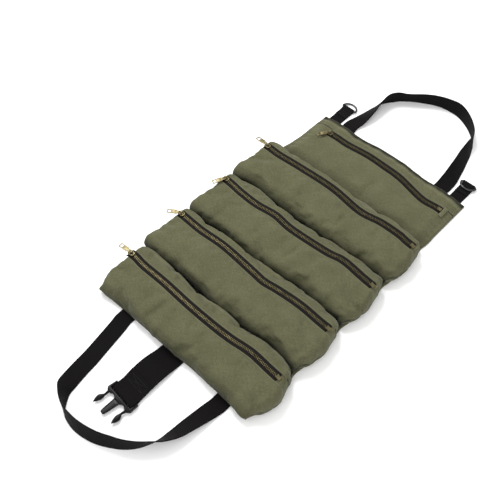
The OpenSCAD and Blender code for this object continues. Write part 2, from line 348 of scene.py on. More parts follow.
def rounded(corners, radius):
    """A polygon with its corners rounded. Radius is one number, or one for each corner."""
    corners = [Vector(c) for c in corners]
    radii = radius if hasattr(radius, "__len__") else [radius] * len(corners)
    points = []
    for k, (corner, r) in enumerate(zip(corners, radii)):
        before = (corners[k - 1] - corner).normalized()
        after = (corners[(k + 1) % len(corners)] - corner).normalized()
        if r <= 0:
            points.append(tuple(corner))
            continue
        a, b = corner + before * r, corner + after * r
        for t in np.linspace(0, 1, CORNER_STEPS + 1):
            points.append(tuple(a * (1 - t) ** 2 + corner * (2 * t * (1 - t)) + b * t**2))
    return points


def cut(corners, radius):
    """A rounded outline for a plate, from corners in mm."""
    return [(x * MM, y * MM) for x, y in rounded(corners, radius)]


def box_outline(x0, x1, y0, y1):
    return [(x0, y0), (x1, y0), (x1, y1), (x0, y1)]


def place(piece, matrix):
    """Moves a piece's mesh into the frame, and leaves its object at the origin."""
    piece.data.transform(matrix)
    return piece


def finished(piece, body=None, node=None):
    """Hides the CAD node that a piece stands for and, if it is stiff, parents it to the body it rides on."""
    if node:
        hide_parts(node)
    if body:
        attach(piece, body)
    return piece


# ---- Materials ----


class Finish:
    """A material, with short ways to add its nodes."""

    def __init__(self, name, roughness, metallic=0.0, sheen=0.0, specular=0.5):
        self.material = bpy.data.materials.new(name)
        self.material.use_nodes = True
        self.tree = self.material.node_tree
        self.shader = self.tree.nodes["Principled BSDF"]
        self.shader.inputs["Roughness"].default_value = roughness
        self.shader.inputs["Metallic"].default_value = metallic
        self.shader.inputs["Sheen Weight"].default_value = sheen
        self.shader.inputs["Sheen Roughness"].default_value = 0.4
        self.shader.inputs["Specular IOR Level"].default_value = specular

    def put(self, socket, value):
        if isinstance(value, bpy.types.NodeSocket):
            self.tree.links.new(value, socket)
        else:
            socket.default_value = value

    def node(self, kind, **inputs):
        made = self.tree.nodes.new(kind)
        for name, value in inputs.items():
            self.put(made.inputs[name.replace("_", " ")], value)
        return made

    def coords(self, kind, scale):
        """UV or object coordinates in metres, times a scale for each axis."""
        if kind == "weave":
            source = self.tree.nodes.new("ShaderNodeUVMap")
            source.uv_map = "weave"
            vector = source.outputs["UV"]
        else:
            vector = self.tree.nodes.new("ShaderNodeTexCoord").outputs["Object"]
        scaled = self.tree.nodes.new("ShaderNodeVectorMath")
        scaled.operation = "MULTIPLY"
        self.put(scaled.inputs[0], vector)
        scaled.inputs[1].default_value = scale
        return scaled.outputs[0]

    def noise(self, kind, scale, detail=2.0, roughness=0.5):
        """Noise of about 0 to 1. Scale is in lumps for each metre."""
        scale = scale if hasattr(scale, "__len__") else (scale,) * 3
        made = self.node("ShaderNodeTexNoise", Vector=self.coords(kind, scale), Scale=1.0, Detail=detail,
                         Roughness=roughness)
        return made.outputs["Fac"]

    def math(self, operation, a, b=0.0, clamp=False):
        made = self.tree.nodes.new("ShaderNodeMath")
        made.operation = operation
        made.use_clamp = clamp
        self.put(made.inputs[0], a)
        self.put(made.inputs[1], b)
        return made.outputs[0]

    def parts(self, vector):
        made = self.node("ShaderNodeSeparateXYZ", Vector=vector)
        return made.outputs[0], made.outputs[1]

    def sum(self, *terms):
        """The sum of (socket, weight) pairs, each socket counted from its middle value of 0.5."""
        total = 0.5
        for socket, weight in terms:
            total = self.math("ADD", total, self.math("MULTIPLY", self.math("SUBTRACT", socket, 0.5), weight))
        return self.math("MAXIMUM", self.math("MINIMUM", total, 1.0), 0.0)

    def mix(self, share, a, b):
        made = self.tree.nodes.new("ShaderNodeMix")
        made.data_type = "RGBA"
        self.put(made.inputs["Factor"], share)
        self.put(made.inputs["A"], a if isinstance(a, bpy.types.NodeSocket) else (*a, 1))
        self.put(made.inputs["B"], b if isinstance(b, bpy.types.NodeSocket) else (*b, 1))
        return made.outputs["Result"]

    def attribute(self, name):
        made = self.tree.nodes.new("ShaderNodeAttribute")
        made.attribute_name = name
        return made.outputs["Fac"]

    def color(self, value):
        self.put(self.shader.inputs["Base Color"], value)

    def rough(self, share, low, high):
        """Roughness from low to high as share goes from 0 to 1."""
        value = self.math("ADD", self.math("MULTIPLY", share, high - low), low)
        self.put(self.shader.inputs["Roughness"], value)

    def bump(self, height, depth, under=None):
        """Bumps of that depth in metres, on top of others if under is given."""
        made = self.node("ShaderNodeBump", Height=height, Distance=depth, Strength=1.0)
        if under is not None:
            self.put(made.inputs["Normal"], under)
        self.put(self.shader.inputs["Normal"], made.outputs["Normal"])
        return made.outputs["Normal"]

    def weave(self, across, along):
        """Plain weave with these distances between threads, from 0 to 1."""
        u, v = self.parts(self.coords("weave", (math.pi / across, math.pi / along, 0)))
        return self.math("MULTIPLY_ADD", self.math("MULTIPLY", self.math("SINE", u), self.math("SINE", v)), 0.5)


def canvas_finish(name, dark, light, wear):
    """Heathered cotton canvas: fine threads, soft creases, painted shade in the valleys and seam grooves, and pale worn
    edges.
    """
    finish = Finish(name, roughness=0.94, sheen=0.1, specular=0.15)
    warp = finish.noise("weave", (1500, 190, 1), detail=1.0)
    weft = finish.noise("weave", (190, 1500, 1), detail=1.0)
    speckle = finish.noise("weave", 760, detail=3.0, roughness=0.75)
    mottle = finish.noise("object", 26, detail=3.0)
    creases = finish.noise("object", (30, 62, 62), detail=3.0, roughness=0.5)
    share = finish.sum((warp, 0.7), (weft, 0.7), (speckle, 1.5), (mottle, 0.4), (creases, 0.2))
    # Painted shade: where the shade attribute is 1 the colour goes nearly black, standing in for shadow deep in the
    # valleys
    shaded = finish.mix(finish.attribute("shade"), finish.mix(share, dark, light), tuple(0.12 * c for c in dark))
    worn = finish.math("MULTIPLY", finish.attribute("wear"), finish.noise("object", 190, detail=3.0))
    finish.color(finish.mix(finish.math("MULTIPLY", worn, 1.25, clamp=True), shaded, wear))
    finish.rough(speckle, 0.88, 0.98)
    folds = finish.bump(creases, 2.2 * MM)
    threads = finish.bump(finish.weave(0.75 * MM, 0.8 * MM), 0.14 * MM, folds)
    finish.bump(speckle, 0.3 * MM, threads)
    return finish.material


def webbing_finish():
    """Black ribbed webbing, a little lighter along the crests of its ribs."""
    finish = Finish("webbing", roughness=0.7, sheen=0.01, specular=0.05)
    rib, pick = finish.parts(finish.coords("weave", (TURN / (2.2 * MM), TURN / (1.2 * MM), 0)))
    ribs = finish.math("MULTIPLY_ADD", finish.math("SINE", rib), 0.5)
    half_rib = finish.math("MULTIPLY", rib, 0.5)
    picks = finish.math("MULTIPLY", finish.math("SINE", pick), finish.math("SINE", half_rib))
    fuzz = finish.noise("weave", 900, detail=2.0)
    share = finish.sum((ribs, 0.7), (fuzz, 0.8))
    # Colour goes lighter where the ribs rise, and with the fuzz
    finish.color(finish.mix(share, (0.0012, 0.001, 0.0011), (0.0085, 0.0074, 0.0079)))
    finish.rough(fuzz, 0.6, 0.8)
    ridges = finish.bump(ribs, 0.3 * MM)
    finish.bump(picks, 0.12 * MM, ridges)
    return finish.material


def tape_finish():
    finish = Finish("zip_tape", roughness=0.8, specular=0.15)
    grain = finish.weave(0.6 * MM, 0.6 * MM)
    fuzz = finish.noise("weave", 700, detail=2.0)
    share = finish.sum((grain, 0.5), (fuzz, 0.9))
    finish.color(finish.mix(share, (0.002, 0.0017, 0.0016), (0.0075, 0.0062, 0.0055)))
    finish.bump(grain, 0.15 * MM)
    return finish.material


def brass_finish(name, dark, light, low, high):
    """Antique brass: brown in patches, brighter where it rubs."""
    finish = Finish(name, roughness=0.4, metallic=1.0)
    tarnish = finish.noise("object", 420, detail=4.0, roughness=0.65)
    blotch = finish.noise("object", 130, detail=2.0)
    share = finish.sum((tarnish, 1.3), (blotch, 0.9))
    finish.color(finish.mix(share, dark, light))
    finish.rough(tarnish, high, low)
    finish.bump(tarnish, 0.06 * MM)
    return finish.material


def plastic_finish():
    finish = Finish("buckle_plastic", roughness=0.36, specular=0.12)
    grain = finish.noise("object", 1500, detail=2.0)
    flow = finish.noise("object", 90, detail=2.0)
    finish.color(finish.mix(flow, (0.002, 0.002, 0.0023), (0.0055, 0.0055, 0.006)))
    finish.rough(finish.sum((grain, 0.6), (flow, 0.6)), 0.24, 0.4)
    finish.bump(grain, 0.04 * MM)
    return finish.material


def steel_finish():
    finish = Finish("ring_steel", roughness=0.25, metallic=1.0)
    scuff = finish.noise("object", 500, detail=4.0, roughness=0.7)
    finish.color(finish.mix(scuff, (0.03, 0.03, 0.033), (0.09, 0.09, 0.094)))
    finish.rough(scuff, 0.18, 0.36)
    finish.bump(scuff, 0.03 * MM)
    return finish.material


def thread_finish(name, dark, light):
    finish = Finish(name, roughness=0.7, sheen=0.1, specular=0.3)
    twist = finish.noise("object", 1800, detail=1.0)
    finish.color(finish.mix(twist, dark, light))
    finish.bump(twist, 0.06 * MM)
    return finish.material


def floor_finish():
    finish = Finish("floor", roughness=0.95, specular=0.1)
    grain = finish.noise("object", 30, detail=2.0)
    finish.color(finish.mix(grain, (0.94, 0.94, 0.94), (0.96, 0.96, 0.96)))
    return finish.material


CANVAS = canvas_finish("canvas", (0.041, 0.041, 0.0205), (0.126, 0.125, 0.069), (0.22, 0.215, 0.135))
CANVAS_BACK = canvas_finish("canvas_back", (0.036, 0.036, 0.018), (0.110, 0.109, 0.060), (0.19, 0.185, 0.118))
WEBBING = webbing_finish()
TAPE = tape_finish()
BRASS = brass_finish("brass", (0.055, 0.043, 0.019), (0.22, 0.19, 0.105), 0.32, 0.5)
TEETH = brass_finish("brass_teeth", (0.04, 0.032, 0.014), (0.2, 0.172, 0.09), 0.34, 0.5)
# Lighter brass for small blocks on the teeth's tops: a painted highlight
RIDGE_HIGHLIGHT_BRASS = brass_finish("brass_ridge", (0.04, 0.032, 0.014), (0.3, 0.26, 0.14), 0.34, 0.5)
PLASTIC = plastic_finish()
STEEL = steel_finish()
THREAD = thread_finish("thread", (0.05, 0.049, 0.026), (0.125, 0.122, 0.07))
BLACK_THREAD = thread_finish("black_thread", (0.002, 0.002, 0.002), (0.008, 0.008, 0.008))

# ---- Pouches ----

# Half the width of the slit that shows the zip tape, and how far the tape lies below its lips
SLIT_HALF = 8.0 * MM
LIP_DROP = 1.3 * MM
# The folded lips beside the slit, in mm: (distance from the zip's middle, height)
LIP = [(11.8, -0.3), (10.5, -0.55), (9.6, -0.05), (8.9, 0.15), (8.4, -0.1), (8.05, -0.8), (8.0, -2.1)]
GROOVE_FLOOR = [(-4.5, -2.2), (0, -2.2), (4.5, -2.2)]
STITCH_ROW = 1

# Sections in mm: (distance from the near crease, height above the panel)
STUFFED_FRONT = [(0.8, 0.2), (-1.2, 7), (-2.6, 13.5), (-2.2, 19), (1.2, 24), (9, 28.6), (21, 32.8), (36, 36.6),
                 (49, 38.9), (60, 40.2)]
FIRST_FRONT = [(0.6, 0.2), (-2.6, 5), (-4.2, 11), (-3.4, 17), (1.4, 22.8), (10, 28), (22, 32.8), (36, 36.8),
               (47, 39.2), (55, 40.3)]
STUFFED_REAR = [(93, 39.2), (99, 34), (103.8, 28.5), (106.6, 24), (106.4, 20.5), (104.6, 17.5), (104.0, 11),
                (106.5, 4.6), (110.2, 0.2)]
FIRST_REAR = [(87, 40), (95, 36.4), (101.5, 31), (105.8, 25.6), (106.6, 21), (104.8, 17.5), (104.0, 11),
              (106.5, 4.6), (110.2, 0.2)]
FLAT_FRONT = [(0.6, 0.2), (0.4, 4), (2.4, 7.6), (8, 9.8), (24, 11), (50, 11.6), (72, 11.8)]
FLAT_REAR = [(108, 10.4), (116, 8.2), (122, 6.4), (127, 4.6), (129.4, 3.2), (130.2, 1.7), (130.2, 0.2)]

# Waves of the zips, in mm: (place across the roll, distance from the straight line)
ZIP_WAVES = {
    1: [(-190, 0), (-158, 0), (-135, -2), (-84, -1.5), (-32, -3.5), (19, -3.8), (64, -2), (108, 3), (150, 1),
        (190, 0)],
    2: [(-190, 0), (-158, -0.5), (-117, -1.4), (-65, 1.7), (2, -2.3), (32, -4.5), (61, -0.5), (106, 3), (150, 1.2),
        (190, 0.5)],
    3: [(-190, -1), (-158, -1), (-127, -4), (-88, -4.9), (-47, 0.1), (-6, -3.5), (67, 1.4), (102, 7.5), (150, 3),
        (190, 1)],
    4: [(-190, 0), (-158, -0.5), (-137, -1), (-86, 2.7), (-14, 5.2), (54, -2.4), (96, 3.7), (134, 4.5), (155, 1.5),
        (190, -0.5)],
    5: [(-190, 0), (-130, 0), (-105, 1.2), (-80, 1.5), (-32, 7.5), (9, 8), (50, 6.5), (107, -4.5),
        (140, -2), (190, 0)],
}
# Waves of the folds, in mm, at equal steps across the roll
REAR_WAVES = {1: [0, -3, -5, -6, -3, -2, 3, -4], 2: [-4, -6, -5, -6, -1, 4, 3, 0], 3: [-1, 2, 0, -1, 0, 3, 5, 5],
              4: [-1, -3, -5, -4, -4, -4, -2, -8], 5: [3, 6, 4, 9, 9, 4, 5, 2]}
NEAR_WAVES = [0, 1.5, 3.5, 2.5, 3.5, 4.5, 3, 0]
FRONT_WAVES = [0, 3, 2, 0, 2.5, 2, 1, 0]
END_RADIUS = {"left": 10 * MM, "right": 12 * MM}
FLAT_END = 26 * MM
FLAT_ROUND = 2.5 * MM
# How far the last pouch and its panel are drawn in at each side, and every panel's edge at a crease
DRAWN_LEFT = 8.5 * MM
DRAWN_RIGHT = 2.0 * MM
DRAWN_AT_CREASE = 3.0 * MM
NEAR_CORNER = 7.0 * MM
# How much higher than the panel's dent the fourth pouch's floor arches
DENT_ROOM = 1.14
# Share of a stuffed pouch's height at which its ends bulge furthest, and how much they narrow at the creases
BULGE_LEVELS = {1: (0.05, 0.30), 2: (0.38, 0.36), 3: (0.38, 0.36), 4: (0.38, 0.36)}
END_NARROWING = 0.045
# How far the filling pushes the left and right ends out near the front, in mm
SPILLS = {1: (0, 12), 2: (9, 7), 3: (7, 6), 4: (8, 5)}
SPILL_LEFT_AT = 9 * MM
SPILL_LEFT_SPREAD = 20 * MM
SPILL_RIGHT_AT = 50 * MM
SPILL_RIGHT_SPREAD = 30 * MM
# The first pouch's left end slants: wide at its foot and narrow at the zip
FIRST_LEAN = 12 * MM
FIRST_FLARE = 7 * MM
# How deep the waves of the near edge reach
NEAR_BAND = 30 * MM
FRONT_ROWS = 40
REAR_ROWS = 26
BOTTOM_ROWS = 40
END_COLUMNS = 14
COLUMN_STEP = 2.7 * MM


def drawn_in(n, x, y):
    """X of cloth after its edges are drawn in, for panels and for the last pouch."""
    at_crease = sum(np.exp(-((y - crease) / (13 * MM)) ** 2) for crease in CREASES)
    far = ease(CREASES[-1], CREASES[-1] + 45 * MM, y) if n >= FLAT_BAY - 1 else 0
    left = DRAWN_LEFT * far + DRAWN_AT_CREASE * at_crease
    right = DRAWN_RIGHT * far + DRAWN_AT_CREASE * at_crease
    right = right + NEAR_CORNER * np.exp(-((y - NEAR_EDGE) / (14 * MM)) ** 2)
    return x * (1 - np.where(x < 0, left, right) / ROLL_HALF)


def pouch_ends(n):
    low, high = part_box(f"pouch_{n}")
    return low.x, high.x


def end_profile(n, x):
    """Share of the full section that a pouch has at x."""
    left, right = pouch_ends(n)
    if n == FLAT_BAY:
        inside = np.minimum(right - x, x - left)
        thin = 0.34 + 0.66 * ease(0, FLAT_END, inside)
        return thin * np.clip(1 - (1 - np.clip(inside / FLAT_ROUND, 0, 1)) ** 2.2, 0, 1) ** 0.5
    share = np.ones_like(x)
    for inside, radius in ((x - left, END_RADIUS["left"]), (right - x, END_RADIUS["right"])):
        out = np.clip(1 - inside / radius, 0, 1)
        share = share * np.clip(1 - out**2.2, 0, 1) ** (1 / 2.2)
    return share


def end_height(n, x, h, top):
    """Height at x of a point of the section at height h. Stuffed ends round off to a bulge partway up."""
    left, right = BULGE_LEVELS.get(n, (0, 0))
    level = np.where(x < 0, left, right) * top
    return level + (h - level) * end_profile(n, x)


def column_places(n):
    """X of the rings along a pouch, close together where its ends turn down."""
    low, high = pouch_ends(n)
    left, right = (FLAT_ROUND, FLAT_ROUND) if n == FLAT_BAY else (END_RADIUS["left"], END_RADIUS["right"])
    angle = np.linspace(0.03, 1, END_COLUMNS) * math.pi / 2
    turn = 1 - np.cos(angle)
    inner = np.linspace(low + left, high - right, int((high - low - left - right) / COLUMN_STEP))
    return np.concatenate([low + left * turn, inner[1:-1], (high - right * turn)[::-1]])


def lip_height(n):
    return zip_span(n)[2] + LIP_DROP - PANEL_TOP


def zip_line(n, x):
    """Y and height above the panel of the lips beside a zip."""
    top = lip_height(n)
    return zip_middle(n, x) + knotted(ZIP_WAVES[n], x), end_height(n, x, top, top)


class Section:
    """The rows round a pouch, from its near base over the zip to its far base, and back below."""

    def __init__(self, n):
        slider = JOINTS[f"pull_{n}_flip"]["pos_m"]
        zip_at = (slider[1] - bay_start(n)) / MM
        lip_z = lip_height(n) / MM
        front = {1: FIRST_FRONT, FLAT_BAY: FLAT_FRONT}.get(n, STUFFED_FRONT)
        rear = {1: FIRST_REAR, FLAT_BAY: FLAT_REAR}.get(n, STUFFED_REAR)
        lips = [(zip_at - d, lip_z + z) for d, z in LIP]
        far_lips = [(zip_at + d, lip_z + z) for d, z in reversed(LIP)]
        floor = [(zip_at + d, lip_z + z) for d, z in GROOVE_FLOOR]
        front_curve = evenly(spline([*front, lips[0]]), FRONT_ROWS + 1)[:-1]
        rear_curve = evenly(spline([far_lips[-1], *rear]), REAR_ROWS + 1)[1:]
        under = np.linspace(rear_curve[-1][0], front_curve[0][0], BOTTOM_ROWS + 2)[1:-1]
        top_rows = np.vstack([front_curve, lips, floor, far_lips, rear_curve])
        self.rows = np.vstack([top_rows, np.stack([under, np.zeros(BOTTOM_ROWS)], 1)]) * MM
        self.top_count = len(top_rows)
        self.near_lip = FRONT_ROWS
        self.far_lip = FRONT_ROWS + 2 * len(LIP) + len(GROOVE_FLOOR) - 1
        self.zip_at = zip_at * MM
        self.lip_z = lip_z * MM
        front_t = np.linspace(0, 1, FRONT_ROWS)
        rear_t = np.linspace(0, 1, REAR_ROWS)
        slit = np.ones(self.far_lip - self.near_lip + 1)
        bottom = np.zeros(BOTTOM_ROWS)
        self.front_share = np.concatenate([
            ease(0, 0.16, front_t) * (1 - ease(0.25, 0.7, front_t)), 0 * slit, 0 * rear_t, bottom])
        self.zip_share = np.concatenate([ease(0.35, 1, front_t), slit, 1 - ease(0, 0.5, rear_t), bottom])
        self.rear_share = np.concatenate([
            0 * front_t, 0 * slit, ease(0.05, 0.4, rear_t) * (1 - ease(0.72, 1, rear_t)), bottom])
        self.loose = np.concatenate([
            ease(0, 0.12, front_t) * (1 - 0.85 * ease(0.8, 1, front_t)), 0 * slit,
            0.7 * ease(0.1, 0.5, rear_t) * (1 - ease(0.8, 1, rear_t)), bottom])
        # Painted shade: strongest at the foot of each front and low on the rear wall, where the valleys between pouches
        # lie in shadow
        front_shade = {1: 0.45, FLAT_BAY: 0.25}.get(n, 1.0) * (1 - ease(0.08, 0.46, front_t))
        self.shade = np.concatenate([front_shade, 0 * slit, ease(0.42, 0.72, rear_t), bottom])
        self.in_slit = np.abs(self.rows[:, 0] - self.zip_at) < 8.2 * MM
        self.in_slit &= self.rows[:, 1] > 0


def dent_height(x, y):
    """How far the back is pushed in over the female buckle half and its strap."""
    buckle_low, buckle_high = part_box("buckle_female")
    strap_low, strap_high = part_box("female_strap")
    soft, gap = 5 * MM, 1.4 * MM

    def over(low, high, height):
        inside_x = ease(low.x - soft - gap, low.x - gap, x) * (1 - ease(high.x + gap, high.x + soft + gap, x))
        inside_y = ease(low.y - soft - gap, low.y - gap, y) * (1 - ease(high.y + gap, high.y + soft + gap, y))
        return height * inside_x * inside_y

    strap_end = Vector((strap_high.x, buckle_low.y, 0))
    over_buckle = over(buckle_low, buckle_high, buckle_high.z + 0.6 * MM)
    return np.maximum(over_buckle, over(strap_low, strap_end, 2.6 * MM))


def pouch_points(n, section):
    """The points of a pouch: one ring for each place along the roll."""
    x = column_places(n)[:, None]
    s = section.rows[None, :, 0]
    h = section.rows[None, :, 1]
    share = end_profile(n, x)
    left, right = pouch_ends(n)
    inside = np.minimum(right - x, x - left)
    middle = bay_length(n) / 2
    plan = 1 - (0.006 if n == FLAT_BAY else 0.11) * (1 - share)
    low, high, _ = zip_span(n)
    open_slit = ease(low - 1.5 * MM, low + 0.5 * MM, x) * (1 - ease(high - 0.5 * MM, high + 1.5 * MM, x))
    in_slit = section.in_slit[None]
    seam = np.where(np.abs(s - section.zip_at) < 3 * MM, 1.3 * MM, 0.3 * MM)
    h = np.where(in_slit, section.lip_z - seam + (h - section.lip_z + seam) * open_slit, h)
    if n == FLAT_BAY:
        far = ease(0.5, 1, s / bay_length(n)) * (1 - section.zip_share)
        move = wave(REAR_WAVES[n], x) * far * MM
    else:
        before = FRONT_WAVES if n == 1 else [0.85 * w for w in REAR_WAVES[n - 1]]
        move = (wave(before, x) * section.front_share + wave(REAR_WAVES[n], x) * section.rear_share) * MM
    slope = zip_middle(n, x) - bay_start(n) - section.zip_at
    move = move + (knotted(ZIP_WAVES[n], x) + slope) * section.zip_share
    y = bay_start(n) + middle + (s - middle) * plan + move
    if n == 1:
        y = y + wave(NEAR_WAVES, x) * MM * (1 - ease(0, NEAR_BAND, s)) * (1 - section.front_share)
    height = end_height(n, x, h, section.lip_z)
    swell = lumps(x, s, 46 * MM, n) * 1.9 + lumps(x, s, 19 * MM, n + 10) * 0.8
    phase = TURN * s / (17 * MM) + 2.2 * lumps(x, s, 40 * MM, n + 20) + n
    fans = np.sin(phase) * np.exp(-inside / (20 * MM)) * 1.1
    if n == FLAT_BAY:
        swell = lumps(x, s, 60 * MM, n) * 1.3 + lumps(x, s, 22 * MM, n + 10) * 0.5
        wide = drawn_in(n, x, y)
    else:
        centre = (left + right) / 2
        at_rear = 1 - ease(0, 24 * MM, 2 * middle - s)
        at_front = (1 - ease(0, 24 * MM, s)) * np.where((x < centre) & (n > 1), 0, 1)
        wide = centre + (x - centre) * (1 - END_NARROWING * (at_rear + at_front))
        spill_left, spill_right = SPILLS[n]
        low_down = np.exp(-((s - SPILL_LEFT_AT) / SPILL_LEFT_SPREAD) ** 2)
        halfway = np.exp(-((s - SPILL_RIGHT_AT) / SPILL_RIGHT_SPREAD) ** 2)
        wide = wide - spill_left * MM * low_down * (1 - ease(left, left + 45 * MM, x))
        wide = wide + spill_right * MM * halfway * ease(right - 55 * MM, right, x)
        if n == 1:
            lean = FIRST_LEAN * (h / section.lip_z) - FIRST_FLARE
            wide = wide + lean * (1 - ease(left, left + 40 * MM, x)) * (1 - at_rear)
    if n == FLAT_BAY - 1:
        bottom = section.rows[None, :, 1] <= 0
        height = np.where(bottom, np.maximum(height, DENT_ROOM * dent_height(wide, y)), height)
    points = np.stack(np.broadcast_arrays(wide, y, PANEL_TOP + height), axis=-1)
    push = (swell + fans) * section.loose * ease(0, 8 * MM, inside) * MM
    normal = np.cross(np.gradient(points, axis=1), np.gradient(points, axis=0))
    normal /= np.linalg.norm(normal, axis=-1)[..., None] + 1e-12
    return points + normal * push[..., None]


# ---- Cloth ----

VOXEL = 5 * MM
PRESSURE = 4.0
CLOTH_FRAMES = 20
MOST_MOVED = 4.5 * MM


def held_still(n, at):
    """True where a pouch is sewn down: along its zip and round its base."""
    line, height = zip_line(n, at[:, 0])
    beside_zip = (np.abs(at[:, 1] - line) < 13 * MM) & (at[:, 2] > PANEL_TOP + height - 7 * MM)
    base = at[:, 2] < PANEL_TOP + (2.5 * MM if n == FLAT_BAY else 4 * MM)
    if n == FLAT_BAY - 1:
        base |= at[:, 2] < PANEL_TOP + dent_height(at[:, 0], at[:, 1]) + 2.5 * MM
    return beside_zip | base


def coordinates(mesh):
    flat = np.empty(len(mesh.vertices) * 3)
    mesh.vertices.foreach_get("co", flat)
    return flat.reshape(-1, 3)


def inflate(piece, n):
    """Fills a pouch by a cloth simulation on a coarse copy, then moves the piece's own points with it."""
    scene = bpy.context.scene
    copy = piece.copy()
    copy.data = piece.data.copy()
    scene.collection.objects.link(copy)
    remesh = copy.modifiers.new("remesh", "REMESH")
    remesh.mode = "VOXEL"
    remesh.voxel_size = VOXEL if n != FLAT_BAY else 0.7 * VOXEL
    mesh = bpy.data.meshes.new_from_object(copy.evaluated_get(bpy.context.evaluated_depsgraph_get()))
    bpy.data.objects.remove(copy)
    bag = bpy.data.objects.new("bag", mesh)
    scene.collection.objects.link(bag)
    before = coordinates(mesh)
    group = bag.vertex_groups.new(name="sewn")
    group.add(np.nonzero(held_still(n, before))[0].tolist(), 1.0, "REPLACE")
    cloth = bag.modifiers.new("cloth", "CLOTH")
    cloth.settings.quality = 6
    cloth.settings.mass = 0.3
    cloth.settings.vertex_group_mass = "sewn"
    cloth.settings.use_pressure = True
    cloth.settings.uniform_pressure_force = PRESSURE
    cloth.settings.shrink_min = -0.035
    cloth.settings.effector_weights.gravity = 0
    cloth.collision_settings.use_collision = False
    cloth.point_cache.frame_start = 1
    cloth.point_cache.frame_end = CLOTH_FRAMES
    for frame in range(1, CLOTH_FRAMES + 1):
        scene.frame_set(frame)
    after = coordinates(bag.evaluated_get(bpy.context.evaluated_depsgraph_get()).data)
    bpy.data.objects.remove(bag)
    scene.frame_set(1)
    moved = after - before
    length = np.linalg.norm(moved, axis=1)[:, None] + 1e-9
    moved *= np.minimum(1, MOST_MOVED / length) * (0.5 if n == FLAT_BAY else 1)
    tree = KDTree(len(before))
    for k, point in enumerate(before):
        tree.insert(point, k)
    tree.balance()
    at = coordinates(piece.data)
    free = ~held_still(n, at)
    for k in np.nonzero(free)[0]:
        near = tree.find_n(at[k], 5)
        weights = np.array([1 / (found[2] + 0.5 * MM) ** 2 for found in near])
        at[k] += weights @ moved[[found[1] for found in near]] / weights.sum()
    piece.data.vertices.foreach_set("co", at.ravel())
    piece.data.update()


def wear_of(section, columns):
    """Where canvas is worn pale: along the lips and the rear fold."""
    rows = np.zeros(len(section.rows))
    for k in (section.near_lip + 3, section.far_lip - 3):
        rows[k - 1:k + 2] = 0.25
    fold = section.far_lip + 1 + int(0.42 * REAR_ROWS)
    rows[fold - 1:fold + 2] = 0.2
    return np.broadcast_to(rows, (columns, len(rows)))


def shade_of(n, section):
    """Painted shade on the canvas: down in the valleys, and along the seam groove that runs on from the zip's far lip.
    """
    shade = np.repeat(section.shade[None], len(column_places(n)), axis=0)
    low, high, _ = zip_span(n)
    x = column_places(n)
    beyond = (x < low - MM) | (x > high + MM)
    # Painted shade along the seam groove beyond the zip's ends
    shade[np.ix_(beyond, range(section.far_lip - 2, section.far_lip + 1))] = 1
    return shade


def paint(piece, name, values):
    layer = piece.data.attributes.new(name, "FLOAT", "POINT")
    layer.data.foreach_set("value", np.asarray(values, np.float32).ravel())


def stitch_row(name, line, material, pitch=3.3 * MM, length=2.5 * MM, radius=0.27 * MM, lift=0.1 * MM):
    """A row of stitches along a line: short rods with round ends."""
    line = np.asarray(line, float)
    along = lengths_along(line)
    ahead = np.gradient(line, axis=0)
    starts = np.arange(pitch, along[-1] - pitch, pitch)
    shape_t = np.array([-1, -0.86, -0.4, 0.4, 0.86, 1]) * length / 2
    shape_r = np.array([0.15, 0.75, 1, 1, 0.75, 0.15]) * radius
    sink = np.array([-0.3, -0.1, 0.1, 0.1, -0.1, -0.3]) * MM
    angle = np.linspace(0, TURN, 6, endpoint=False)
    verts, faces = [], []
    for at in starts:
        centre = np.array([np.interp(at, along, line[:, k]) for k in range(3)])
        way = np.array([np.interp(at, along, ahead[:, k]) for k in range(3)])
        way /= np.linalg.norm(way)
        side = np.cross((0, 0, 1), way)
        side /= np.linalg.norm(side)
        top = np.cross(way, side)
        base = len(verts)
        for t, r, down in zip(shape_t, shape_r, sink):
            for a in angle:
                verts.append(centre + way * t + side * r * math.cos(a) + top * (r * math.sin(a) + down + lift))
        for ring in range(5):
            for k in range(6):
                a, b = base + ring * 6 + k, base + ring * 6 + (k + 1) % 6
                faces.append((a, b, b + 6, a + 6))
        faces.append(tuple(base + k for k in reversed(range(6))))
        faces.append(tuple(base + 30 + k for k in range(6)))
    mesh = bpy.data.meshes.new(name)
    mesh.from_pydata([tuple(v) for v in verts], [], faces)
    mesh.polygons.foreach_set("use_smooth", [True] * len(faces))
    return link(name, mesh, material)


def make_pouch(n):
    section = Section(n)
    points = pouch_points(n, section)
    piece = skin(f"canvas_pouch_{n}", points, CANVAS)
    paint(piece, "wear", wear_of(section, len(points)))
    paint(piece, "shade", shade_of(n, section))
    inflate(piece, n)
    points = coordinates(piece.data).reshape(points.shape)
    finished(piece, node=f"pouch_{n}")
    if n == 1:
        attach(piece, "bay_1")
    else:
        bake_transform(piece)
    rows = []
    inner = slice(END_COLUMNS - 4, len(points) - END_COLUMNS + 8)
    for row in (section.near_lip + STITCH_ROW, section.far_lip - STITCH_ROW):
        rows.append(stitch_row(f"row_{row}", points[inner, row], THREAD))
    if n == FLAT_BAY:
        rear = section.far_lip + 1
        for back in (5, 7):
            rows.append(stitch_row(f"hem_{back}", points[inner, rear + REAR_ROWS - back], THREAD))
        for column in (END_COLUMNS + 1, len(points) - END_COLUMNS - 2):
            rows.append(stitch_row(f"side_{column}", points[column, 4:section.near_lip], THREAD))
            rows.append(stitch_row(f"far_side_{column}", points[column, rear + 2:rear + REAR_ROWS - 5], THREAD))
    stitching = joined(f"pouch_stitching_{n}", rows)
    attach(stitching, f"bay_{n}")
    return piece


for number in BAYS:
    make_pouch(number)

# ---- Zips ----

HEM_STEPS = 8


def strip_along(name, n, x, width, thick, drop, material):
    """A flat strip that follows a zip, its top drop below the lips."""
    y, height = zip_line(n, x)
    outline = strap_outline(width, thick)
    centre = np.stack([x, y, PANEL_TOP + height - drop - thick / 2], 1)
    _, side, top = frames_along(centre, (0, 0, 1))
    return skin(name, swept(centre, outline, side, top), material)


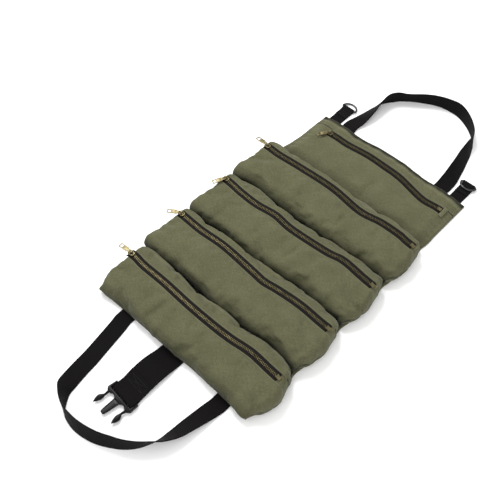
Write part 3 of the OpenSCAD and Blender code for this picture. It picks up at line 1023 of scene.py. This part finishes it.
def make_tape(n):
    """The zip's woven tape, which follows the slit, and the canvas hem that covers its far end."""
    low, high, _ = zip_span(n)
    x = np.arange(low, high, 2.5 * MM)
    piece = strip_along(f"woven_zip_tape_{n}", n, x, 2 * SLIT_HALF + 0.3 * MM, 0.5 * MM, LIP_DROP, TAPE)
    finished(piece, f"bay_{n}", f"zip_tape_{n}")
    end = min(high + 7 * MM, pouch_ends(n)[1] - 1.2 * MM)
    x = np.linspace(high - 0.6 * MM, end, HEM_STEPS)
    hem = strip_along(f"zip_end_hem_{n}", n, x, 24 * MM, 1.5 * MM, -0.75 * MM, CANVAS)
    sides = len(hem.data.vertices) // HEM_STEPS
    paint(hem, "wear", np.linspace(0.4, 0.1, HEM_STEPS)[:, None] * np.ones(sides))
    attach(hem, f"bay_{n}")


TOOTH_PITCH = 3.0 * MM
TOOTH = (1.15 * MM, 2.8 * MM, 1.5 * MM)
RIDGE = (0.7 * MM, 0.8 * MM, 0.6 * MM)
TOOTH_BEVEL = 0.25 * MM


def block(size, bevel):
    """Corners and faces of a box with chamfered edges, centred on the origin."""
    verts, index = [], {}
    for corner in itertools.product((-1, 1), repeat=3):
        for axis in range(3):
            point = [c * (s / 2 - (0 if k == axis else bevel)) for k, (c, s) in enumerate(zip(corner, size))]
            index[corner, axis] = len(verts)
            verts.append(point)
    faces = []
    for axis in range(3):
        others = [k for k in range(3) if k != axis]
        for sign in (-1, 1):
            loop = []
            for a, b in ((-1, -1), (1, -1), (1, 1), (-1, 1)):
                corner = [0, 0, 0]
                corner[axis], corner[others[0]], corner[others[1]] = sign, a, b
                loop.append(index[tuple(corner), axis])
            faces.append(loop)
        for a, b in ((-1, -1), (1, -1), (1, 1), (-1, 1)):
            loop = []
            for sign in (-1, 1):
                corner = [0, 0, 0]
                corner[axis], corner[others[0]], corner[others[1]] = sign, a, b
                pair = [index[tuple(corner), others[0]], index[tuple(corner), others[1]]]
                loop += pair if sign < 0 else pair[::-1]
            faces.append(loop)
    for corner in itertools.product((-1, 1), repeat=3):
        faces.append([index[corner, axis] for axis in range(3)])
    return np.array(verts), faces


def blocks(name, places, size, bevel, material):
    """One mesh of equal blocks. Each place is a centre with its directions along, across and up."""
    verts, faces = block(size, bevel)
    all_verts, all_faces = [], []
    for centre, along, across, up in places:
        base = len(all_verts)
        all_verts += (centre + verts[:, :1] * along + verts[:, 1:2] * across + verts[:, 2:] * up).tolist()
        all_faces += [[base + k for k in face] for face in faces]
    mesh = bpy.data.meshes.new(name)
    mesh.from_pydata(all_verts, [], all_faces)
    weld(mesh)
    return link(name, mesh, material)


def zip_frames(n, x):
    """Centres on the tape and the directions there, at places x along a zip."""
    y, height = zip_line(n, x)
    centre = np.stack([x, y, PANEL_TOP + height - LIP_DROP], 1)
    step = 0.5 * MM
    y2, height2 = zip_line(n, x + step)
    along = np.stack([np.full_like(x, step), y2 - y, height2 - height], 1)
    along = unit(along)
    across = unit(np.cross((0, 0, 1), along))
    return centre, along, across, np.cross(along, across)


def make_teeth(n):
    """Two rows of brass teeth that mesh along the middle of the tape, with small blocks of lighter brass on their tops
    as a painted highlight.
    """
    low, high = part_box(f"zip_teeth_{n}")
    places, ridge = [], []
    for side in (-1, 1):
        x = np.arange(low.x + TOOTH_PITCH * (0.5 + 0.25 * side), high.x, TOOTH_PITCH)
        for centre, along, across, up in zip(*zip_frames(n, x)):
            places.append((centre + across * side * 1.3 * MM + up * 0.65 * MM, along, across, up))
            # Small lighter blocks on each tooth's top: a painted highlight
            ridge.append((centre + across * side * 0.35 * MM + up * 1.25 * MM, along, across, up))
    rows = [blocks("teeth", places, TOOTH, TOOTH_BEVEL, TEETH), blocks("ridge", ridge, RIDGE, TOOTH_BEVEL, RIDGE_HIGHLIGHT_BRASS)]
    piece = joined(f"brass_zip_teeth_{n}", rows)
    finished(piece, f"bay_{n}", f"zip_teeth_{n}")


def make_stop(n):
    """The square box that closes the zip's end."""
    low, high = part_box(f"zip_stop_{n}")
    size = high - low
    x = np.array([(low.x + high.x) / 2])
    centre, along, across, up = (values[0] for values in zip_frames(n, x))
    box = (size.x - MM, size.y - 1.4 * MM, size.z)
    rim = (1.3 * MM, size.y - 0.6 * MM, size.z)
    parts = [blocks("stop_box", [(centre + up * size.z / 2, along, across, up)], box, 0.5 * MM, BRASS)]
    for end in (-1, 1):
        at = centre + along * end * (size.x / 2 - 1.3 * MM) + up * size.z * 0.62
        parts.append(blocks("stop_rim", [(at, along, across, up)], rim, 0.35 * MM, BRASS))
    piece = joined(f"brass_zip_stop_{n}", parts)
    finished(piece, f"bay_{n}", f"zip_stop_{n}")


for number in BAYS:
    make_tape(number)
    make_teeth(number)
    make_stop(number)

# ---- Sliders and pulls ----

# Length and half width of a pull, in mm, and the radius of its bar
PULL_LENGTH = 27
PULL_HALF = 4.3
BAR_RADIUS = 1 * MM


def pull_frame(n):
    """Matrix whose origin is the pull's bar, whose -X runs along the pull, and whose Y is its axis."""
    joint = JOINTS[f"pull_{n}_flip"]
    pivot = Vector(joint["pos_m"])
    axis = -Vector(joint["axis"])
    low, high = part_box(f"pull_{n}")
    middle = (low + high) / 2 - pivot
    away = (middle - axis * middle.dot(axis)).normalized()
    x = -away
    return Matrix.Translation(pivot) @ Matrix((x, axis, x.cross(axis))).transposed().to_4x4()


def make_slider(n):
    """A shield-shaped cap with side flanges, and an arched bail."""
    joint = JOINTS[f"pull_{n}_flip"]
    pivot = Vector(joint["pos_m"])
    top = zip_span(n)[2]
    run = JOINTS[f"slider_{n}_run"]["axis"]
    home = Matrix.Translation((pivot.x, pivot.y, top)) @ Matrix.Rotation(math.atan2(run[1], run[0]), 4, "Z")
    turn = Matrix.Rotation(math.atan2(joint["axis"][0], -joint["axis"][1]), 4, "Z")
    width = 4.6
    shield = cut([(-6, -3.4), (-4.2, -width - 0.3), (0.5, -width), (5.2, -3.7), (6, -1.6), (6, 1.6), (5.2, 3.7),
                  (0.5, width), (-4.2, width + 0.3), (-6, 3.4)], 0.9)
    cap = place(plate("cap", shield, 1.3 * MM, 0.4 * MM, BRASS), home @ Matrix.Translation((0, 0, 2.6 * MM)))
    parts = [cap]
    for side in (-1, 1):
        at = np.array((-0.6, side * 4.0, 1.2)) * MM
        flange = blocks("flange", [(at, *np.eye(3))], (9.6 * MM, 1.1 * MM, 1.9 * MM), 0.3 * MM, BRASS)
        parts.append(place(flange, home))
    bail_z = pivot.z - top
    arch = spline([(-3.3 * MM, 0, 2.6 * MM), (-3.2 * MM, 0, bail_z), (-1.9 * MM, 0, bail_z + 1.75 * MM),
                   (0, 0, bail_z + 2.05 * MM), (1.9 * MM, 0, bail_z + 1.75 * MM), (3.2 * MM, 0, bail_z),
                   (3.3 * MM, 0, 2.6 * MM)], 6)
    _, side, up = frames_along(arch, (0, 1, 0))
    bail = skin("bail", swept(arch, strap_outline(2.3 * MM, 1.0 * MM, 4), up, side), BRASS)
    parts.append(place(bail, Matrix.Translation((pivot.x, pivot.y, top)) @ turn))
    piece = joined(f"brass_slider_{n}", parts)
    finished(piece, f"slider_{n}", f"slider_{n}")


def make_pull(n):
    """A plate with a square eye, a waist and two legs that hold its bar."""
    matrix = pull_frame(n)
    length, half = PULL_LENGTH, PULL_HALF
    outline = cut([(-length, -half), (-9.5, -half), (-7.6, -3.1), (-1.2, -3.1), (-1.2, -1.5), (-5.6, -1.5),
                   (-5.6, 1.5), (-1.2, 1.5), (-1.2, 3.1), (-7.6, 3.1), (-9.5, half), (-length, half)],
                  [1.4, 1.2, 0.6, 0.3, 0.3, 0.6, 0.6, 0.3, 0.3, 0.6, 1.2, 1.4])
    eye = cut(box_outline(-length + 1.9, -length + 7.3, -2.6, 2.6), 0.6)
    body = plate("pull_plate", outline, 1.5 * MM, 0.35 * MM, BRASS, holes=[eye])
    rim = cut(box_outline(-length + 8.6, -10.4, -2.9, 2.9), 0.8)
    panel = plate("pull_panel", rim, 1.8 * MM, 0.3 * MM, BRASS)
    bar = tube("pull_bar", [(0, y * MM, 0) for y in (-3, -2.8, -1, 1, 2.8, 3)],
               np.array([0.7, 1, 1, 1, 1, 0.7]) * BAR_RADIUS, BRASS, sides=14)
    legs = [tube("pull_leg", [(0, side * 1.55 * MM, 0), (0, side * 1.75 * MM, 0), (0, side * 2.9 * MM, 0),
                              (0, side * 3.1 * MM, 0)], np.array([1.1, 1.45, 1.45, 1.1]) * MM, BRASS, sides=18)
            for side in (-1, 1)]
    piece = joined(f"brass_pull_{n}", [place(part, matrix) for part in (body, panel, bar, *legs)])
    finished(piece, f"pull_{n}", f"pull_{n}")


for number in BAYS:
    make_slider(number)
    make_pull(number)

# ---- Back panels ----

CREASE_HALF = 5.5 * MM
HEM = 13 * MM


def panel_rings(y, x_half, thick, hem):
    """Rings of a thin panel whose side hems are a little thicker, one ring for each y."""
    inner = x_half - hem
    across = np.linspace(inner, -inner, 130)
    side = [(x_half, thick / 2), (x_half - 0.3 * MM, thick * 0.86), (x_half - MM, thick), (inner + 0.5 * MM, thick)]
    top = [*side, *[(x, thick - 0.5 * MM) for x in across], *[(-x, z) for x, z in reversed(side)]]
    low = [(-x_half + 0.3 * MM, 0.3 * MM), (-x_half + MM, 0.1 * MM), (-inner - 0.5 * MM, 0.1 * MM)]
    bottom = [*low, *[(-x, 0.5 * MM) for x in across], *[(-x, z) for x, z in reversed(low)]]
    ring = np.array(top + bottom)
    return np.stack([np.stack([ring[:, 0], np.full(len(ring), at), ring[:, 1]], 1) for at in y])


def make_panel(n):
    y0 = bay_start(n) + (0 if n == 1 else CREASE_HALF - 0.4 * MM)
    y1 = bay_start(n) + bay_length(n) - (0 if n == FLAT_BAY else CREASE_HALF - 0.4 * MM)
    rings = panel_rings(np.linspace(y0, y1, 60), ROLL_HALF, PANEL_TOP, HEM)
    rings[..., 0] = drawn_in(n, rings[..., 0], rings[..., 1])
    if n == FLAT_BAY - 1:
        rings[..., 2] += dent_height(rings[..., 0], rings[..., 1])
    if n == 1:
        rings[..., 1] += wave(NEAR_WAVES, rings[..., 0]) * MM * (1 - ease(0, NEAR_BAND, rings[..., 1] - y0))
    if n == FLAT_BAY:
        far = ease(0.4, 1, (rings[..., 1] - y0) / (y1 - y0))
        rings[..., 1] += wave(REAR_WAVES[n], rings[..., 0]) * far * MM
    piece = skin(f"canvas_back_{n}", rings, CANVAS_BACK, sharp=60)
    across = panel_rings([y0], ROLL_HALF, PANEL_TOP, HEM)[..., 0]
    paint(piece, "wear", np.broadcast_to(np.abs(across) > ROLL_HALF - 1.2 * MM, rings.shape[:2]) * 0.8)
    finished(piece, node=f"back_panel_{n}")
    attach(piece, f"bay_{n}")


def make_crease(n):
    """The strip of the back that bends between bay n and the next."""
    at = CREASES[n - 1]
    rings = panel_rings(np.linspace(at - CREASE_HALF, at + CREASE_HALF, 12), ROLL_HALF, PANEL_TOP, HEM)
    piece = skin(f"canvas_crease_{n}", rings, CANVAS_BACK, sharp=60)
    rings[..., 0] = drawn_in(n, rings[..., 0], rings[..., 1])
    piece.data.vertices.foreach_set("co", rings.ravel())
    paint(piece, "wear", np.full(rings.shape[:2], 0.3))
    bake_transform(piece)


for number in BAYS:
    make_panel(number)
for number in BAYS[:-1]:
    make_crease(number)

# ---- Webbing ----

WEB_THICK = 1.8 * MM
HANDLE_WIDTH = 30 * MM
ROOT_IN = 6 * MM
# Places along each handle, in mm: (across, outward from the panel's edge, twist in degrees)
NEAR_ROUTE = [
    (-111, -6, 0), (-111, 1.3, 0), (-111, 7, 0), (-110, 14, 2), (-106, 31, 3), (-98, 75, 3), (-94, 96, 6),
    (-91, 118, 9), (-87, 140, 14), (-82, 152, 34), (-75, 162, 60), (-66, 171, 74), (-57, 178, 86), (-48, 183, 95),
    (-38, 185, 102), (-19, 186, 108), (1, 183, 110), (21, 177, 109), (41, 167, 105), (59, 156, 97), (75, 141, 86),
    (87, 124, 71), (94, 111, 56), (98, 98, 42), (101, 84, 31), (103, 69, 23), (106, 48, 14), (109, 26, 4),
    (111, 12, 0), (111, 1.3, 0), (111, -6, 0)]
FAR_ROUTE = [
    (-111, -6, 0), (-111, 1.3, 0), (-111, 7, 0), (-112, 16, -4), (-111, 26, -6), (-108, 38, -13), (-105, 60, -32),
    (-104, 83, -50), (-103, 99, -64), (-101, 111, -73), (-97, 121, -80), (-91, 130, -83), (-84, 138, -79),
    (-76, 144, -74), (-66, 152, -73), (-56, 160, -76), (-43, 169, -81), (-28, 178, -84), (-10, 185, -88),
    (6, 188, -94), (18, 189, -99), (30, 187, -99), (46, 180, -96), (62, 170, -92), (76, 158, -89), (86, 146, -86),
    (92, 134, -78), (95, 121, -67), (98, 107, -57), (101, 91, -49), (105, 74, -42), (108, 57, -34), (111, 38, -22),
    (112, 20, -10), (111, 8, 0), (111, 1.3, 0), (111, -6, 0)]


def webbing_loop(name, route, origin, outward, width, thick):
    """Webbing swept along a route, twisted as it goes. Its lower edge stays on the ground."""
    path = evenly(spline(np.array(route, float), 8), 220)
    flat = path[:, :2] * MM
    ahead = unit(np.gradient(flat, axis=0))
    twist = np.radians(path[:, 2])
    c, s = np.cos(twist), np.sin(twist)
    across = np.stack([-ahead[:, 1] * c, ahead[:, 0] * c, s], 1)
    through = np.stack([ahead[:, 1] * s, -ahead[:, 0] * s, c], 1)
    centre = np.stack([flat[:, 0], flat[:, 1], thick / 2 * np.abs(c) + width / 2 * np.abs(s) + 0.1 * MM], 1)
    outline = strap_outline(width, thick, 20)
    rings = swept(centre, outline, across, through)
    rings[..., 1] *= outward
    rings = rings + np.array(origin)
    return skin(name, rings, WEBBING)


def make_handle(name, route, joint_name, edge, outward):
    joint = JOINTS[joint_name]
    piece = webbing_loop(f"webbing_{name}", route, (joint["pos_m"][0], edge, 0), outward, HANDLE_WIDTH, WEB_THICK)
    finished(piece, node=name)
    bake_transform(piece)


make_handle("near_handle", NEAR_ROUTE, "near_handle_swing", NEAR_EDGE, -1)
make_handle("far_handle", FAR_ROUTE, "far_handle_swing", FAR_EDGE, 1)


def looped_strap(name, side_line, x, width, thick):
    """Webbing that runs along X's side line, as a closed solid. side_line holds (y, z) in metres."""
    line = evenly(np.asarray(side_line, float)[:, [0, 1, 1]] * (1, 1, 0), 130)[:, :2]
    ahead = unit(np.gradient(line, axis=0))
    normal = np.stack([-ahead[:, 1], ahead[:, 0]], 1)
    outline = strap_outline(width, thick, 26)
    y = line[:, None, 0] + outline[None, :, 1] * normal[:, None, 0]
    z = line[:, None, 1] + outline[None, :, 1] * normal[:, None, 1]
    across = x + np.broadcast_to(outline[None, :, 0], y.shape)
    return skin(name, np.stack([across, y, z], -1), WEBBING)


def circle_points(y, z, radius, start, end, steps=14):
    angle = np.radians(np.linspace(start, end, steps))
    return [(y + radius * math.cos(a), z + radius * math.sin(a)) for a in angle]


def stitched_box(name, x, y, z, half_x, half_y, slope=0.0):
    """A rectangle of stitches with a cross in it."""
    corners = [(-half_x, -half_y), (half_x, -half_y), (half_x, half_y), (-half_x, half_y)]
    ends = [(0, 1), (1, 2), (2, 3), (3, 0), (0, 2), (1, 3)]
    lines = [(corners[a], corners[b]) for a, b in ends]
    rows = []
    for k, (a, b) in enumerate(lines):
        t = np.linspace(0, 1, 24)[:, None]
        flat = np.array(a) * (1 - t) + np.array(b) * t
        line = np.column_stack([x + flat[:, 0], y + flat[:, 1], z + slope * flat[:, 1]])
        rows.append(stitch_row(f"{name}_{k}", line, BLACK_THREAD, pitch=2.9 * MM, length=2.2 * MM))
    return joined(name, rows)


STRAP_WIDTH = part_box("buckle_strap")[1].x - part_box("buckle_strap")[0].x
STRAP_TWIST = 4 * MM
RING_RADIUS = 15.8 * MM
RING_ROD = 1.8 * MM
# One ring points outward and the other lies folded back on its tab, in degrees
LEFT_RING_TILT = -7
RIGHT_RING_TILT = 170
# The strap curves sideways on its way to the buckle
STRAP_OFFSET = -0.5 * MM
STRAP_LEAN = math.radians(5.3)


def make_buckle_strap():
    """Wide webbing from under the near edge, round the male half's bar and back."""
    bar = JOINTS["buckle_male_swing"]["pos_m"]
    thick = 1.5 * MM
    loop = 2.5 * MM + 0.1 * MM + thick / 2
    inner = NEAR_EDGE + ROOT_IN
    lower = [(inner, 0.9 * MM), (NEAR_EDGE, 0.9 * MM), (NEAR_EDGE - 12 * MM, 1.8 * MM),
             (NEAR_EDGE - 32 * MM, 5.6 * MM), (NEAR_EDGE - 56 * MM, 6.4 * MM), (bar[1] + 16 * MM, 3.4 * MM), (bar[1] + 5 * MM, 1.5 * MM)]
    upper = [(bar[1] + 8 * MM, 6.9 * MM), (bar[1] + 16 * MM, 5.6 * MM), (bar[1] + 30 * MM, 6.9 * MM),
             (bar[1] + 36 * MM, 7.3 * MM)]
    front = [(bar[1] - 1 * MM, 1.0 * MM), (bar[1] - 6.5 * MM, 1.9 * MM), (bar[1] - 8.9 * MM, 4.6 * MM),
             (bar[1] - 6.5 * MM, 7.5 * MM), (bar[1], bar[2] + loop)]
    line = spline([*lower, *front, *upper], 10)
    strap = looped_strap("strap", line, bar[0], STRAP_WIDTH, thick)
    fold = stitched_box("strap_fold", bar[0], bar[1] + 24 * MM, 7.0 * MM, 19 * MM, 6 * MM, slope=0.104)
    piece = joined("webbing_buckle_strap", [strap, fold])
    at = coordinates(piece.data)
    t = np.clip((NEAR_EDGE - at[:, 1]) / (NEAR_EDGE - bar[1]), 0, 1.2)
    across = at[:, 0] - bar[0]
    at[:, 2] += STRAP_TWIST * np.sin(math.pi * np.minimum(t, 1)) ** 2 * (0.5 - across / STRAP_WIDTH)
    bent = ease(0.5, 1, t)
    lean = STRAP_LEAN * bent
    at[:, 0] = bar[0] + STRAP_OFFSET * (1 - bent) + across * np.cos(lean)
    at[:, 1] -= across * np.sin(lean)
    piece.data.vertices.foreach_set("co", at.ravel())
    finished(piece, node="buckle_strap")
    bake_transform(piece)


def make_ring_tab(side):
    """Short webbing from under the far edge, folded round the ring's bar."""
    bar = JOINTS[f"ring_{side}_turn"]["pos_m"]
    thick = 1.4 * MM
    loop = 1.8 * MM + 0.1 * MM + thick / 2
    lower = [(FAR_EDGE - ROOT_IN, 0.8 * MM), (FAR_EDGE, 0.8 * MM), (FAR_EDGE + 20 * MM, 0.9 * MM),
             (bar[1] - 4 * MM, 1.0 * MM)]
    upper = [(bar[1] - 5 * MM, 3.9 * MM), (bar[1] - 12 * MM, 2.5 * MM), (bar[1] - 26 * MM, 2.3 * MM)]
    line = spline([*lower, *circle_points(bar[1], bar[2], loop, -88, 88, 7), *upper], 10)
    strap = looped_strap("tab", line, bar[0], 26 * MM, thick)
    fold = stitched_box("tab_fold", bar[0], bar[1] - 17 * MM, 3.0 * MM, 9.5 * MM, 5 * MM)
    piece = joined(f"webbing_tab_{side}", [strap, fold])
    finished(piece, node=f"tab_{side}")
    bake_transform(piece)


def make_ring(side, tilt):
    """D-shaped ring bent from round rod."""
    bar = Vector(JOINTS[f"ring_{side}_turn"]["pos_m"])
    arc = [(RING_RADIUS * math.cos(a), RING_RADIUS * math.sin(a), 0) for a in np.linspace(0.12, math.pi - 0.12, 40)]
    bar_points = [(x * MM, 0, 0) for x in np.linspace(-14.6, 14.6, 18)]
    line = evenly(np.array([*arc, *bar_points, arc[0]]), 96)[:-1]
    piece = tube(f"steel_ring_{side}", line, RING_ROD, STEEL, sides=16, loop=True)
    place(piece, Matrix.Translation(bar) @ Matrix.Rotation(math.radians(tilt), 4, "X"))
    finished(piece, f"ring_{side}", f"ring_{side}")


make_buckle_strap()
make_ring_tab("left")
make_ring_tab("right")
make_ring("left", LEFT_RING_TILT)
make_ring("right", RIGHT_RING_TILT)

# ---- Buckle ----


def lofted(name, places, sections, material, power=2.6, sides=20):
    """A solid through rounded sections in X-Z. Places are (x, y, z) and sections (half width, half height)."""
    angle = np.linspace(0, TURN, sides, endpoint=False)
    c, s = np.cos(angle), np.sin(angle)
    round_x = np.sign(c) * np.abs(c) ** (2 / power)
    round_z = np.sign(s) * np.abs(s) ** (2 / power)
    line = spline(places, 5)
    size = spline(sections, 5)
    rings = np.stack([
        line[:, None, 0] + size[:, None, 0] * round_x,
        np.broadcast_to(line[:, None, 1], (len(line), sides)),
        line[:, None, 2] + size[:, None, 1] * round_z], -1)
    return skin(name, rings, material)


def buckle_bar(inner, radius):
    """The rod that the webbing wraps, its ends sunk into the cheeks."""
    return tube("bar", [(x * MM, 0, 0) for x in (-inner - 1, -10, 10, inner + 1)], radius, PLASTIC, sides=20)


def male_frame():
    """The bar's middle, turned with the end of the strap."""
    bar = Vector(JOINTS["buckle_male_swing"]["pos_m"])
    return Matrix.Translation(bar) @ Matrix.Rotation(-STRAP_LEAN, 4, "Z")


def make_male():
    """Bar and cheeks with the webbing between them, a thin scalloped body and a tapered tongue."""
    half = (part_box("buckle_male")[1].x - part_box("buckle_male")[0].x) / 2 / MM
    inner = STRAP_WIDTH / 2 / MM + 0.6
    parts = [buckle_bar(inner, 1.7 * MM)]
    root = half - 7
    outline = [(-half + 0.6, -6), (-half + 1.2, 3.6), (-inner, 3.4), (-inner, -10.3), (inner, -10.3), (inner, 3.4),
               (half - 1.2, 3.6), (half - 0.6, -6), (half, -13.5), (root + 3, -17.4), (root - 3.4, -17.4),
               (root - 6, -14.8), (9.5, -14.5), (7, -17.8), (-7, -17.8), (-9.5, -14.5), (-root + 6, -14.8),
               (-root + 3.4, -17.4), (-root - 3, -17.4), (-half, -13.5)]
    radii = [1, 1.2, 0.6, 1, 1, 0.6, 1.2, 1, 2, 1.5, 1.2, 1.6, 2, 1.4, 1.4, 2, 1.6, 1.2, 1.5, 2]
    parts.append(plate("frame_plate", cut(outline, radii), 7.4 * MM, 1.5 * MM, PLASTIC))
    tongue = [(-6.5, -16), (-5.4, -26), (-4.1, -42), (-3.3, -46.5), (3.3, -46.5), (4.1, -42), (5.4, -26), (6.5, -16)]
    tongue_radii = [0.5, 3, 1.1, 1.9, 1.9, 1.1, 3, 0.5]
    parts.append(plate("tongue", cut(tongue, tongue_radii), 2.6 * MM, 0.7 * MM, PLASTIC))
    rail_line = ((5.6, -15.5), (4.9, -22), (4.4, -29), (3.7, -38), (3.0, -45.2))
    for side in (-1, 1):
        rail = [(side * x * MM, y * MM, 0) for x, y in rail_line]
        parts.append(lofted("rail", rail, [(1.0 * MM, 2.2 * MM)] * 4 + [(0.8 * MM, 1.5 * MM)], PLASTIC, 3.0, 14))
    piece = joined("plastic_buckle_male", [place(part, male_frame()) for part in parts])
    finished(piece, "buckle_male", "buckle_male")


def make_prong(side_name, side):
    """A springy arm: a thin curved neck and a leaf-shaped head with a ridge."""
    root = Vector(JOINTS[f"prong_{side_name}_squeeze"]["pos_m"]) - Vector(JOINTS["buckle_male_swing"]["pos_m"])
    line = [(-0.2, 3.6, 0), (0, 0, 0), (-0.5, -3, 0), (-0.4, -5.6, 0), (0.2, -7.8, 0), (0.9, -10.4, 0), (1.3, -13.5, 0),
            (1.5, -17, 0), (1.6, -21, 0), (1.8, -25.4, 0)]
    width = [(2.2, 3.2), (1.9, 3.1), (1.7, 2.9), (1.8, 2.7), (3.0, 2.7), (4.2, 3.0), (4.7, 3.2), (4.1, 3.1), (2.7, 2.5),
             (0.5, 0.9)]
    line = [(side * x * MM, y * MM, z * MM) for x, y, z in line]
    arm = lofted("arm", line, [(a * MM, b * MM) for a, b in width], PLASTIC, 2.2)
    ridge_line = [(side * x * MM, y * MM, 0) for x, y in ((0.4, -8.6), (1.3, -13), (1.6, -18), (1.8, -24.4))]
    ridge_size = [(0.6 * MM, 2.9 * MM), (0.8 * MM, 3.8 * MM), (0.7 * MM, 3.4 * MM), (0.4 * MM, 1.5 * MM)]
    ridge = lofted("ridge", ridge_line, ridge_size, PLASTIC, 2.0, 12)
    at_root = male_frame() @ Matrix.Translation(root)
    piece = joined(f"plastic_prong_{side_name}", [place(part, at_root) for part in (arm, ridge)])
    finished(piece, f"prong_{side_name}", f"prong_{side_name}")


def make_female():
    """A flat socket with side windows for the barbs, and a bar between two cheeks."""
    bar = Vector(JOINTS["buckle_female_swing"]["pos_m"])
    half = (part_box("buckle_female")[1].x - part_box("buckle_female")[0].x) / 2 / MM
    inner = (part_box("female_strap")[1].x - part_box("female_strap")[0].x) / 2 / MM + 0.6
    parts = [buckle_bar(inner, 2.25 * MM)]
    shell = [(-half, 9.5), (-half + 0.5, 8), (half - 0.5, 8), (half, 9.5), (half, 18), (half - 3.2, 21), (half - 3.2, 31),
             (half, 34), (half, 47), (half - 2, 48), (12, 47), (-12, 47), (-half + 2, 48), (-half, 47), (-half, 34),
             (-half + 3.2, 31), (-half + 3.2, 21), (-half, 18)]
    shell = cut(shell, [*[0.8] * 4, *[1.5] * 4, 0.8, 0.8, 3, 3, 0.8, 0.8, *[1.5] * 4])
    grip = cut(box_outline(-14, 14, 26, 42), 4)
    for side in (-1, 1):
        level = Matrix.Translation((0, 0, side * 5.0 * MM))
        parts.append(place(plate("shell", shell, 1.9 * MM, 0.6 * MM, PLASTIC), level))
        parts.append(place(plate("grip", grip, 2.2 * MM, 0.4 * MM, PLASTIC), level))
        for low_y, high_y in ((8.4, 17.6), (34.4, 46.6)):
            wall = cut(box_outline(half - 3.4, half - 0.2, low_y, high_y), 0.8)
            wall = [(side * x, y) for x, y in wall]
            parts.append(plate("wall", wall, 11 * MM, 0.5 * MM, PLASTIC))
        cheek = [(side * x, y) for x, y in cut(box_outline(inner, half - 0.2, -3.6, 9.5), 0.9)]
        parts.append(plate("cheek", cheek, 8.6 * MM, 0.9 * MM, PLASTIC))
    crossbar = cut(box_outline(-half + 1, half - 1, 8.4, 11.6), 0.8)
    parts.append(plate("crossbar", crossbar, 11 * MM, 0.5 * MM, PLASTIC))
    piece = joined("plastic_buckle_female", [place(part, Matrix.Translation(bar)) for part in parts])
    finished(piece, "buckle_female", "buckle_female")


def make_female_strap():
    """Webbing sewn under the fourth pouch and folded round the female half's bar."""
    bar = JOINTS["buckle_female_swing"]["pos_m"]
    low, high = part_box("female_strap")
    thick = 1.3 * MM
    loop = 2.3 * MM + 0.1 * MM + thick / 2
    under = [(low.y, 1.0 * MM), (low.y + 14 * MM, 1.0 * MM), (bar[1] - 12 * MM, 1.1 * MM), (bar[1] - 5 * MM, 2.4 * MM)]
    over = [(bar[1] - 5 * MM, 8.8 * MM), (bar[1] - 11 * MM, 3.6 * MM), (bar[1] - 20 * MM, 2.45 * MM)]
    line = spline([*under, *circle_points(bar[1], bar[2], loop, -100, 100, 7), *over], 10)
    strap = looped_strap("female_webbing", line, bar[0], high.x - low.x, thick)
    sewn = stitched_box("female_sewn", bar[0], (low.y + bar[1]) / 2 - 8 * MM, 0.45 * MM, 19 * MM, 6.5 * MM)
    piece = joined("webbing_female_strap", [strap, sewn])
    finished(piece, "bay_4", "female_strap")


make_female()
make_female_strap()
make_male()
make_prong("left", -1)
make_prong("right", 1)

# ---- Room ----

FLOOR_HALF = 5.0
FLOOR_GAP = 0.3 * MM


def make_floor():
    mesh = bpy.data.meshes.new("floor")
    corners = box_outline(-FLOOR_HALF, FLOOR_HALF, -FLOOR_HALF, FLOOR_HALF)
    mesh.from_pydata([(x, y, 0) for x, y in corners], [], [(0, 1, 2, 3)])
    floor = link("floor", mesh, floor_finish())
    floor.location.z = -FLOOR_GAP


def area_light(name, place_at, size, power):
    data = bpy.data.lights.new(name, "AREA")
    data.shape = "DISK"
    data.size = size
    data.energy = power
    lamp = bpy.data.objects.new(name, data)
    lamp.location = place_at
    lamp.rotation_euler = (-Vector(place_at)).to_track_quat("-Z", "Y").to_euler()
    bpy.context.scene.collection.objects.link(lamp)


# Place, size and power of each lamp. Both point at the origin
LAMPS = {"key": ((-1.35, 0.45, 2.1), 1.2, 56), "fill": ((0.6, -1.7, 1.9), 1.8, 13)}


def light_room():
    world = bpy.data.worlds.new("studio")
    world.use_nodes = True
    world.node_tree.nodes["Background"].inputs["Color"].default_value = (1, 1, 1, 1)
    world.node_tree.nodes["Background"].inputs["Strength"].default_value = 1.0
    bpy.context.scene.world = world
    for name, (at, size, power) in LAMPS.items():
        area_light(name, at, size, power)


make_floor()
light_room()
bpy.context.scene.view_settings.view_transform = "Standard"
